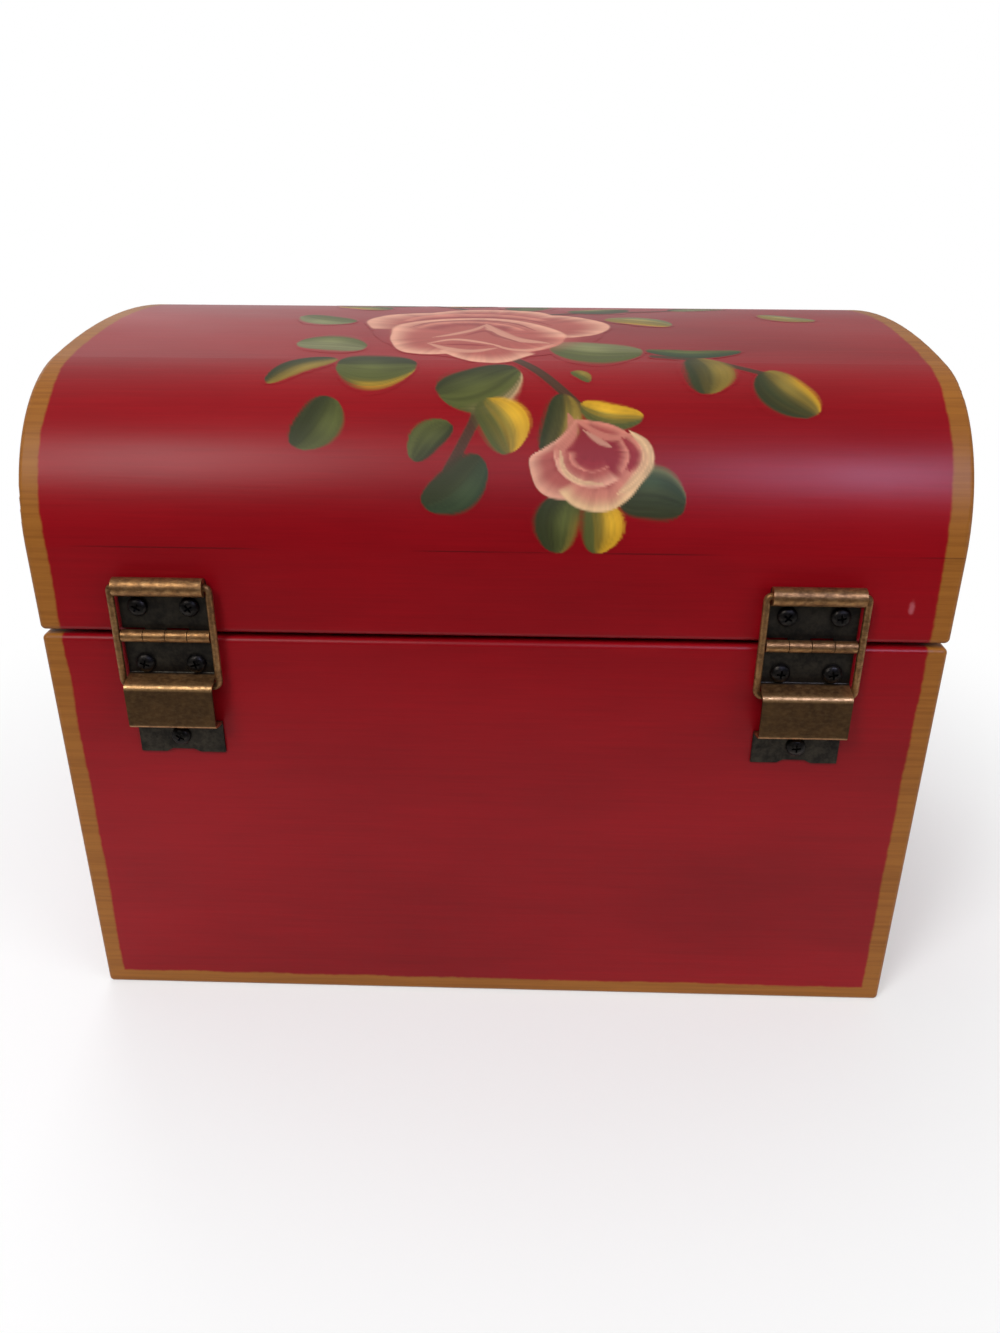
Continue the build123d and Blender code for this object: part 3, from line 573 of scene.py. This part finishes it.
def curve_through(points, steps=8):
    """A smooth line through the points, as many short pieces (Catmull-Rom)."""
    p = np.array(points, float)
    p = np.vstack([2 * p[0] - p[1], p, 2 * p[-1] - p[-2]])
    found = []
    for a, b, c, d in zip(p, p[1:], p[2:], p[3:]):
        for t in np.arange(steps) / steps:
            square = (2 * a - 5 * b + 4 * c - d) * t**2
            cube = (3 * b - a - 3 * c + d) * t**3
            found.append(0.5 * (2 * b + (c - a) * t + square + cube))
    found.append(p[-2])
    return np.array(found)


def smooth(low, high, value):
    t = np.clip((value - low) / (high - low), 0, 1)
    return t * t * (3 - 2 * t)


class Canvas:
    """Brush paint over the unrolled lid: a colour and a cover at each point of a fine grid."""

    def __init__(self, x_span, way_span, step):
        self.x = np.arange(x_span[0], x_span[1] + step / 2, step)
        self.way = np.arange(way_span[0], way_span[1] + step / 2, step)
        self.at = np.stack(np.meshgrid(self.x, self.way), axis=-1)
        self.paint = np.zeros((*self.at.shape[:2], 3)) + 0.05
        self.cover = np.zeros(self.at.shape[:2])
        self.hairs = np.random.default_rng(7).random(4096)

    def streak(self, across, fine, seed):
        """A brush's hair marks: smooth one-dimensional noise from 0 to 1."""
        place = across * fine + seed * 61.7 + 400
        low = np.floor(place).astype(int)
        part = place - low
        part = part * part * (3 - 2 * part)
        return self.hairs[low % 4096] * (1 - part) + self.hairs[(low + 1) % 4096] * part

    def lay(self, colour, cover):
        cover = np.clip(cover, 0, 1)
        total = cover + self.cover * (1 - cover)
        kept = (self.cover * (1 - cover) / np.maximum(total, 1e-6))[..., None]
        self.paint = np.where(total[..., None] > 1e-6, colour * (1 - kept) + self.paint * kept, self.paint)
        self.cover = total

    def leaf(self, base, tip, half_width, left, right, edge, seed, bend=0.10):
        base, tip = np.array(base, float), np.array(tip, float)
        along = tip - base
        length = np.hypot(*along)
        along /= length
        aside = np.array([-along[1], along[0]])
        away = self.at - base
        u = away @ along / length
        v = away @ aside - bend * length * np.sin(np.pi * np.clip(u, 0, 1)) * (1 if seed % 2 else -1)
        inside = np.clip(u, 0, 1)
        width = half_width * np.clip(1 - np.abs(2 * inside**0.92 - 1) ** 2.3, 1e-4, 1) ** 0.62
        v = v / width
        hair = self.streak(v + 0.35 * u, 6, seed)
        fine = self.streak(v + 0.2 * u, 17, seed + 3)
        turned = smooth(-0.95, 0.60, v + 0.45 * (hair - 0.5))[..., None]
        colour = (1 - turned) * linear(right) + turned * linear(left)
        light = np.exp(-(((u - 0.42) / 0.22) ** 2) - ((v + 0.25) / 0.4) ** 2)
        colour = colour * (0.72 + 0.24 * hair + 0.26 * fine + 0.55 * light)[..., None]
        vein = (1 - smooth(0.0, 0.14, np.abs(v - 0.05))) * 0.16 * smooth(0.05, 0.3, u)
        colour = colour * (1 - vein)[..., None]
        if edge:
            rim = smooth(0.45, 0.92, v * edge[1]) * (0.35 + 0.6 * fine) * smooth(0.15, 0.5, u)
            colour = colour * (1 - rim[..., None]) + np.array(linear(edge[0])) * rim[..., None]
        cover = 1 - smooth(0.68, 1.12, np.abs(v) + 0.16 * (fine - 0.5) + 0.08 * (hair - 0.5))
        cover = cover * smooth(-0.02, 0.05, u) * (1 - smooth(0.94, 1.01, u))
        self.lay(colour, cover * (0.84 + 0.14 * fine))

    def line(self, points, half_width, colour, seed, taper=True, strength=0.92):
        """A plain stroke; with taper it starts and ends fine."""
        line = curve_through(points)
        nearest = np.full(self.cover.shape, 1e9)
        part = np.zeros(self.cover.shape)
        for i, (a, b) in enumerate(zip(line, line[1:])):
            run = b - a
            t = np.clip((self.at - a) @ run / (run @ run), 0, 1)
            gap = np.linalg.norm(self.at - a - t[..., None] * run, axis=-1)
            part = np.where(gap < nearest, (i + t) / (len(line) - 1), part)
            nearest = np.minimum(nearest, gap)
        width = half_width * (np.sin(np.pi * np.clip(part, 0.02, 0.98)) ** 0.6 if taper else 1.0)
        hair = self.streak(nearest, 3, seed)
        shade = np.array(linear(colour)) * (0.82 + 0.36 * hair)[..., None]
        self.lay(shade, (1 - smooth(0.55, 1.2, nearest / width)) * strength)

    def petal(self, pivot, edge, outer, inner, reach, seed):
        """One shell stroke: pale at its outer edge and deeper towards its pivot."""
        pivot = np.array(pivot, float)
        line = curve_through(edge)
        count = len(line) - 1
        out = np.zeros(self.cover.shape)
        turn = np.zeros(self.cover.shape)
        hit = np.zeros(self.cover.shape, bool)
        away = self.at - pivot
        for i, (a, b) in enumerate(zip(line - pivot, line[1:] - pivot)):
            area = a[0] * b[1] - a[1] * b[0]
            if abs(area) < 1e-6:
                continue
            to_a = (away[..., 0] * b[1] - away[..., 1] * b[0]) / area
            to_b = (a[0] * away[..., 1] - a[1] * away[..., 0]) / area
            here = (to_a >= 0) & (to_b >= 0) & (to_a + to_b < 1.15) & ~hit
            out = np.where(here, to_a + to_b, out)
            turn = np.where(here, (i + to_b / np.maximum(to_a + to_b, 1e-6)) / count, turn)
            hit |= here
        hair = self.streak(turn, 15, seed)
        fine = self.streak(turn, 52, seed + 5)
        ragged = out + 0.025 * (self.streak(turn, 8, seed + 2) - 0.5)
        pale = smooth(0.60, 1.0, ragged + 0.06 * (hair - 0.5))[..., None] ** 1.4
        rim = (smooth(0.86, 0.97, ragged) * 0.5)[..., None]
        colour = (1 - pale) * linear(inner) + pale * linear(outer)
        colour = colour * (1 - rim) + np.array(linear([min(255, c * 1.08) for c in outer])) * rim
        colour = colour * (0.84 + 0.18 * hair + 0.14 * fine)[..., None]
        cover = smooth(reach - 0.22, reach + 0.25, out + 0.08 * (hair - 0.5))
        cover = cover * (1 - smooth(0.975, 1.025, ragged)) * hit
        cover = cover * smooth(0.0, 0.07, turn) * (1 - smooth(0.93, 1.0, turn))
        self.lay(colour, cover)

    def blot(self, middle, size, colour, strength):
        away = (self.at - np.array(middle, float)) / np.array(size, float)
        cover = 1 - smooth(0.55, 1.0, np.hypot(away[..., 0], away[..., 1]))
        self.lay(np.zeros_like(self.paint) + linear(colour), cover * strength)


def moved(points, shift):
    return [(x + shift[0], way + shift[1]) for x, way in points]


def paint_small_rose(canvas, shift, seed):
    canvas.blot(*moved([(-27, 25)], shift), (13, 10), DEEP_ROSE, 0.9)
    for i, (pivot, edge, outer, inner, reach) in enumerate(SMALL_ROSE):
        canvas.petal(moved([pivot], shift)[0], moved(edge, shift), outer, inner, reach, seed + i)
    for i, (points, half_width, colour) in enumerate(SMALL_ROSE_LINES):
        canvas.line(moved(points, shift), half_width, colour, seed + 20 + i, strength=0.8)


def paint_spray():
    canvas = Canvas((-104, 70), (-2, 206), SPRAY_STEP)
    for i, (points, half_width) in enumerate(STEMS):
        canvas.line(points, half_width, BARK, i, taper=False)
    for i, leaf in enumerate(LEAVES):
        canvas.leaf(*leaf, seed=i + 1)
    canvas.blot((3, 92), (36, 30), ROSE, 0.94)
    for i, stroke in enumerate(BIG_ROSE):
        canvas.petal(*stroke, seed=40 + i)
    for i, (points, half_width, colour) in enumerate(BIG_ROSE_LINES):
        canvas.line(points, half_width, colour, 50 + i, strength=0.75)
    for i, leaf in enumerate(LOW_LEAVES):
        canvas.leaf(*leaf, seed=60 + i)
    paint_small_rose(canvas, (0, 0), 80)
    paint_small_rose(canvas, FRONT_ROSE_SHIFT, 120)
    return canvas


def on_lid(x, way, lift):
    """The point of the lid's outside at x and that far up over it from the back, in metres."""
    front = 2 * SHOULDER_ARC + CROWN_ARC - way
    side = 1 if way <= SHOULDER_ARC + CROWN_ARC / 2 else -1
    near = min(way, front)
    if near < 0:
        return (x, side * (HALF_DEPTH + lift), SPRING + near)
    if near < SHOULDER_ARC:
        angle = near / SHOULDER_RADIUS
        radius = SHOULDER_RADIUS + lift
        return (x, side * (SHOULDER_IN + radius * math.cos(angle)), SPRING + radius * math.sin(angle))
    angle = LEAN + (near - SHOULDER_ARC) / CROWN_RADIUS
    radius = CROWN_RADIUS + lift
    return (x, side * radius * math.cos(angle), CROWN_CENTRE + radius * math.sin(angle))


def make_spray():
    """The paint as a thin skin on the lid, kept only where the brush has been."""
    canvas = paint_spray()
    rows, columns = canvas.cover.shape
    used = canvas.cover > 0.02
    quads = used[:-1, :-1] | used[1:, :-1] | used[:-1, 1:] | used[1:, 1:]
    index = -np.ones(used.shape, int)
    needed = np.zeros(used.shape, bool)
    for shift_row in (0, 1):
        for shift_column in (0, 1):
            needed[shift_row : rows - 1 + shift_row, shift_column : columns - 1 + shift_column] |= quads
    index[needed] = np.arange(needed.sum())
    points = []
    for row, column in np.argwhere(needed):
        lift = SPRAY_LIFT + PAINT_RELIEF * canvas.cover[row, column]
        points.append(on_lid(canvas.x[column] / 1000, canvas.way[row] / 1000, lift))
    faces = []
    for row, column in np.argwhere(quads):
        corners = ((row, column), (row, column + 1), (row + 1, column + 1), (row + 1, column))
        faces.append(tuple(int(index[c]) for c in corners))
    mesh = bpy.data.meshes.new("lid_painted_spray")
    mesh.from_pydata(points, [], faces)
    colours = np.concatenate([canvas.paint[needed], np.ones((needed.sum(), 1))], axis=1)
    paint = mesh.color_attributes.new("paint", "FLOAT_COLOR", "POINT")
    paint.data.foreach_set("color", colours.astype(np.float32).ravel())
    cover = mesh.attributes.new("cover", "FLOAT", "POINT")
    cover.data.foreach_set("value", canvas.cover[needed].astype(np.float32))
    mesh.polygons.foreach_set("use_smooth", [True] * len(mesh.polygons))
    mesh.materials.append(painted_material())
    piece = bpy.data.objects.new("lid_painted_spray", mesh)
    bpy.context.scene.collection.objects.link(piece)
    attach(piece, "lid")


make_spray()


# Hinge screws in detail, the tray's velvet, and their sizes in metres
SCREW_RADIUS = 0.00275
SCREW_RISE = 0.0017
SCREW_SIDES = 40
SCREW_PROFILE = [
    (1.0, 0.0), (1.0, 0.30), (0.965, 0.46), (0.86, 0.68), (0.70, 0.85), (0.45, 0.96), (0.22, 0.995),
]
SCREW_LEAN = 2.5
RECESS_ARM = 0.00165
RECESS_WIDTH = 0.00062
RECESS_DEPTH = 0.0011
RING_ROLLS = 6
RING_ROLL_GAP = 0.0006
ROLL_END_SHARE = 0.9
ROLL_ALONG = 56
ROLL_AROUND = 30
PAD_CORNER = 0.0022
PAD_CROWN = 0.0008
PAD_WAVE = 0.00012
PAD_ACROSS = 44
PAD_DEEP = 32


def mesh_piece(name, points, faces, material, body):
    mesh = bpy.data.meshes.new(name)
    mesh.from_pydata(points, [], faces)
    mesh.polygons.foreach_set("use_smooth", [True] * len(mesh.polygons))
    mesh.materials.append(material)
    piece = bpy.data.objects.new(name, mesh)
    bpy.context.scene.collection.objects.link(piece)
    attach(piece, body)
    return piece


def screw_head():
    """A pan head with a cross recess, along +Z from its seat, as (points, faces)."""
    work = bmesh.new()
    rings = []
    for share, rise in SCREW_PROFILE:
        ring = []
        for i in range(SCREW_SIDES):
            angle = 2 * math.pi * i / SCREW_SIDES
            radius = share * SCREW_RADIUS
            place = (radius * math.cos(angle), radius * math.sin(angle), rise * SCREW_RISE)
            ring.append(work.verts.new(place))
        rings.append(ring)
    for low, high in zip(rings, rings[1:]):
        for i in range(SCREW_SIDES):
            k = (i + 1) % SCREW_SIDES
            work.faces.new((low[i], low[k], high[k], high[i]))
    work.faces.new(rings[-1])
    work.faces.new(list(reversed(rings[0])))
    head = bpy.data.meshes.new("screw head")
    work.to_mesh(head)
    work.free()
    cutter = bmesh.new()
    for turn in (0, math.pi / 2):
        spin = Matrix.Rotation(turn, 4, "Z")
        wedge = []
        for x, y, z in (
            (-1, -1, 1), (1, -1, 1), (1, 1, 1), (-1, 1, 1),
            (-0.45, -0.7, -1), (0.45, -0.7, -1), (0.45, 0.7, -1), (-0.45, 0.7, -1),
        ):
            high = SCREW_RISE + (RECESS_DEPTH * 0.5 if z > 0 else -RECESS_DEPTH)
            place = spin @ Vector((x * RECESS_ARM, y * RECESS_WIDTH / 2, high))
            wedge.append(cutter.verts.new(place))
        for corners in ((3, 2, 1, 0), (4, 5, 6, 7), (0, 1, 5, 4), (1, 2, 6, 5), (2, 3, 7, 6), (3, 0, 4, 7)):
            face = cutter.faces.new([wedge[i] for i in corners])
            face.normal_flip()
    tool = bpy.data.meshes.new("recess")
    cutter.to_mesh(tool)
    cutter.free()
    head_object = bpy.data.objects.new("screw head", head)
    tool_object = bpy.data.objects.new("recess", tool)
    for thing in (head_object, tool_object):
        bpy.context.scene.collection.objects.link(thing)
    cut = head_object.modifiers.new("recess", "BOOLEAN")
    cut.operation = "DIFFERENCE"
    cut.solver = "EXACT"
    cut.use_self = True
    cut.object = tool_object
    seen = head_object.evaluated_get(bpy.context.evaluated_depsgraph_get()).to_mesh()
    points = [tuple(v.co) for v in seen.vertices]
    faces = [tuple(f.vertices) for f in seen.polygons]
    bpy.data.objects.remove(head_object)
    bpy.data.objects.remove(tool_object)
    return points, faces


def screw_centres(node):
    """Where a node's screws stand, as (x, z), from its separate solids."""
    found = []
    for vertex in nodes[node].data.vertices:
        x, z = vertex.co.x, vertex.co.z
        for group in found:
            if math.hypot(x - group[0], z - group[1]) < 2 * SCREW_RADIUS:
                group[2].append((x, z))
                break
        else:
            found.append([x, z, [(x, z)]])
    centres = []
    for group in found:
        xs = [x for x, z in group[2]]
        zs = [z for x, z in group[2]]
        centres.append(((min(xs) + max(xs)) / 2, (min(zs) + max(zs)) / 2))
    return sorted(centres)


def make_screws():
    points, faces = screw_head()
    dice = np.random.default_rng(11)
    for side in ("left", "right"):
        for group, body in (("upper", "lid"), ("lower", "base")):
            node = f"hinge_{side}_{group}_screws"
            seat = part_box(f"hinge_{side}_{group}_leaf")[0][1] + SHEET
            all_points, all_faces = [], []
            for x, z in screw_centres(node):
                turn = dice.uniform(0, math.pi / 2)
                lean = Matrix.Rotation(math.radians(dice.uniform(-SCREW_LEAN, SCREW_LEAN)), 4, "Z")
                stand = Matrix.Translation((x, seat, z)) @ lean @ Matrix.Rotation(-math.pi / 2, 4, "X")
                stand = stand @ Matrix.Rotation(turn, 4, "Z")
                first = len(all_points)
                all_points += [tuple(stand @ Vector(p)) for p in points]
                all_faces += [tuple(first + i for i in f) for f in faces]
            name = f"screws_{side}_{group}"
            piece = mesh_piece(name, all_points, all_faces, BLACK_STEEL, body)
            piece.data.set_sharp_from_angle(angle=math.radians(32))
            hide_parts(node)


def make_ring_rolls():
    """Plump velvet rolls: a rounded back that swells between drawn-in ends."""
    low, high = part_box("ring_rolls")
    pitch = (high[1] - low[1] + RING_ROLL_GAP) / RING_ROLLS
    half = (pitch - RING_ROLL_GAP) / 2
    height = high[2] - low[2]
    length = high[0] - low[0]
    points, faces = [], []
    along, around = ROLL_ALONG, ROLL_AROUND
    for roll in range(RING_ROLLS):
        middle = low[1] + pitch * roll + half
        first = len(points)
        for i in range(along + 1):
            u = i / along
            end = min(u, 1 - u) * length
            inward = min(1.0, end / (half * ROLL_END_SHARE))
            swell = 0.10 + 0.90 * math.sqrt(1 - (1 - inward) ** 2)
            sag = 1 - 0.02 * math.sin(9 * math.pi * u + roll) ** 2
            for k in range(around):
                angle = 2 * math.pi * k / around
                c, s = math.cos(angle), math.sin(angle)
                y = half * swell * math.copysign(abs(c) ** 0.8, c)
                rise = math.copysign(abs(s) ** 0.85, s)
                z = height / 2 + height / 2 * rise * (0.35 + 0.65 * swell) * sag
                points.append((low[0] + u * length, middle + y * 0.995, low[2] + max(0.0, z)))
        for i in range(along):
            for k in range(around):
                a = first + i * around + k
                b = first + i * around + (k + 1) % around
                faces.append((a, b, b + around, a + around))
        faces.append(tuple(first + k for k in reversed(range(around))))
        faces.append(tuple(first + along * around + k for k in range(around)))
    piece = mesh_piece("velvet_ring_rolls", points, faces, VELVET, "tray")
    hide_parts("ring_rolls")


def make_pads():
    """The velvet pads of the tray's open bays: thin, soft at the edges and a little crowned."""
    mesh = nodes["tray_pads"].data
    low_z, high_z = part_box("tray_pads")[0][2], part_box("tray_pads")[1][2]
    links = list(range(len(mesh.vertices)))

    def root(i):
        while links[i] != i:
            i = links[i]
        return i

    by_place = {}
    for vertex in mesh.vertices:
        key = tuple(round(c, 5) for c in vertex.co)
        links[root(vertex.index)] = root(by_place.setdefault(key, vertex.index))
    for polygon in mesh.polygons:
        for other in polygon.vertices[1:]:
            links[root(other)] = root(polygon.vertices[0])
    solids = {}
    for vertex in mesh.vertices:
        solids.setdefault(root(vertex.index), []).append(vertex.co)
    spans = []
    for solid in solids.values():
        xs = [c.x for c in solid]
        ys = [c.y for c in solid]
        spans.append((round(min(ys), 4), min(xs), max(xs), min(ys), max(ys)))
    points, faces = [], []
    across, deep = PAD_ACROSS, PAD_DEEP
    for row, x0, x1, y0, y1 in sorted(spans):
        first = len(points)
        thick = high_z - low_z
        for j in range(deep + 1):
            for i in range(across + 1):
                u, v = i / across, j / deep
                x, y = x0 + (x1 - x0) * u, y0 + (y1 - y0) * v
                edge = min(x - x0, x1 - x, y - y0, y1 - y)
                soft = min(1.0, edge / PAD_CORNER)
                rise = thick * (0.25 + 0.75 * math.sqrt(1 - (1 - soft) ** 2))
                crown = PAD_CROWN * math.sin(math.pi * u) * math.sin(math.pi * v)
                wave = PAD_WAVE * math.sin(160 * x + 3 * j) * math.sin(210 * y)
                points.append((x, y, low_z + rise + crown + wave * soft))
        for j in range(deep):
            for i in range(across):
                a = first + j * (across + 1) + i
                faces.append((a, a + 1, a + across + 2, a + across + 1))
        foot = len(points)
        rim = [first + i for i in range(across + 1)]
        rim += [first + j * (across + 1) + across for j in range(1, deep + 1)]
        rim += [first + deep * (across + 1) + i for i in range(across - 1, -1, -1)]
        rim += [first + j * (across + 1) for j in range(deep - 1, 0, -1)]
        for corner in rim:
            x, y, z = points[corner]
            points.append((x, y, low_z))
        for i in range(len(rim)):
            k = (i + 1) % len(rim)
            faces.append((rim[k], rim[i], foot + i, foot + k))
        faces.append(tuple(foot + i for i in reversed(range(len(rim)))))
    piece = mesh_piece("velvet_tray_pads", points, faces, VELVET, "tray")
    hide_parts("tray_pads")


make_screws()
make_ring_rolls()
make_pads()


def make_camera():
    cp, sp = math.cos(CAMERA_PITCH), math.sin(CAMERA_PITCH)
    cy, sy = math.cos(CAMERA_YAW), math.sin(CAMERA_YAW)
    cr, sr = math.cos(CAMERA_ROLL), math.sin(CAMERA_ROLL)
    forward = Vector((-cp * sy, -cp * cy, -sp))
    level = Vector((-cy, sy, 0))
    steep = Vector((-sp * sy, -sp * cy, cp))
    right = cr * level + sr * steep
    up = cr * steep - sr * level
    data = bpy.data.cameras.new("camera")
    data.sensor_width = SENSOR
    data.lens = FOCAL_PIXELS / IMAGE_HEIGHT * SENSOR
    data.clip_start = 0.01
    camera = bpy.data.objects.new("camera", data)
    bpy.context.scene.collection.objects.link(camera)
    turn = Matrix((right, up, -forward)).transposed().to_4x4()
    camera.matrix_world = Matrix.Translation(CAMERA_PLACE) @ turn
    bpy.context.scene.camera = camera


def make_floor():
    """A pale sheet; far from the chest the camera sees it white, and near it keeps the shadow."""
    bpy.ops.mesh.primitive_plane_add(size=1.0, location=(0, FLOOR_NEAR - FLOOR_LENGTH / 2, 0))
    floor = bpy.context.object
    floor.name = "floor"
    floor.scale = (FLOOR_LENGTH, FLOOR_LENGTH, 1)
    tree = Coat("pale floor")
    tree.finish(Base_Color=(0.87, 0.87, 0.88, 1), Roughness=0.9, Specular_IOR_Level=0.05)
    x, y, z = tree.split(tree.node("ShaderNodeNewGeometry").outputs["Position"])
    path = tree.node("ShaderNodeLightPath").outputs
    seen = tree.larger(path["Is Camera Ray"], path["Is Glossy Ray"])
    seen = tree.larger(seen, path["Is Transmission Ray"])
    far = tree.ramp(tree.distance(x, y), WHITE_FROM, WHITE_AT)
    whiten = tree.times(tree.scaled(far, 1 - WHITE_NEAR, WHITE_NEAR), seen)
    white = tree.node("ShaderNodeEmission")
    white.inputs["Strength"].default_value = 1.0
    both = tree.node("ShaderNodeMixShader")
    tree.links.new(whiten, both.inputs[0])
    tree.links.new(tree.shader.outputs[0], both.inputs[1])
    tree.links.new(white.outputs[0], both.inputs[2])
    tree.links.new(both.outputs[0], tree.nodes["Material Output"].inputs["Surface"])
    floor.data.materials.append(tree.owner)


def area_light(name, place, size, power, tall=None, colour=(1, 1, 1), shines=True, lights=True):
    """A lamp aimed at the chest's back. shines: gloss shows it; lights: it lights plain surfaces."""
    data = bpy.data.lights.new(name, "AREA")
    data.energy = power
    data.size = size
    data.color = colour
    if tall:
        data.shape = "RECTANGLE"
        data.size_y = tall
    lamp = bpy.data.objects.new(name, data)
    bpy.context.scene.collection.objects.link(lamp)
    aim = Vector(LAMP_AIM) - Vector(place)
    lamp.matrix_world = Matrix.Translation(place) @ aim.to_track_quat("-Z", "Y").to_matrix().to_4x4()
    lamp.visible_glossy = shines
    lamp.visible_diffuse = lights


def make_lamps():
    """Two windows that gloss on the shoulder, and three broad lamps that gloss doesn't show."""
    area_light("left window", (0.38, 0.65, 0.73), 0.26, 3.6, tall=0.40)
    bluish = (0.56, 0.62, 1.0)
    area_light("right window", (-0.36, 0.68, 0.68), 0.24, 4.2, tall=0.30, colour=bluish, lights=False)
    area_light("above", (0.1, 0.75, 1.1), 0.8, 7.0, shines=False)
    area_light("right", (-0.8, 0.6, 0.6), 0.6, 4.0, shines=False)
    area_light("front", (0.3, -0.9, 0.8), 0.8, 6.0, shines=False)


def make_world():
    """White to the camera all round and to gloss ahead of it; light and gloss find a dim room
    behind the photograph's camera and a little less light on the picture's right."""
    world = bpy.data.worlds.new("studio")
    bpy.context.scene.world = world
    tree = Tree(world)
    background = tree.nodes["Background"]
    path = tree.node("ShaderNodeLightPath").outputs
    seen = tree.larger(path["Is Camera Ray"], path["Is Glossy Ray"])
    seen = tree.larger(seen, path["Is Transmission Ray"])
    tree.put(background.inputs["Strength"], tree.scaled(seen, 1 - WORLD_LIGHT, WORLD_LIGHT))
    x, y, z = tree.split(tree.node("ShaderNodeTexCoord").outputs["Generated"])
    room = tree.scaled(tree.ramp(y, -ROOM_EDGE, ROOM_EDGE), ROOM_SHADE - 1, 1.0)
    aside = tree.scaled(tree.ramp(x, *SIDE_SPAN, smooth=False), 1 - SIDE_SHADE, SIDE_SHADE)
    white = tree.larger(tree.times(room, aside), path["Is Camera Ray"])
    shade = tree.node("ShaderNodeCombineColor")
    for channel in ("Red", "Green", "Blue"):
        tree.links.new(white, shade.inputs[channel])
    tree.links.new(shade.outputs[0], background.inputs["Color"])
    bpy.context.scene.view_settings.view_transform = "Standard"


make_camera()
make_floor()
make_world()
make_lamps()
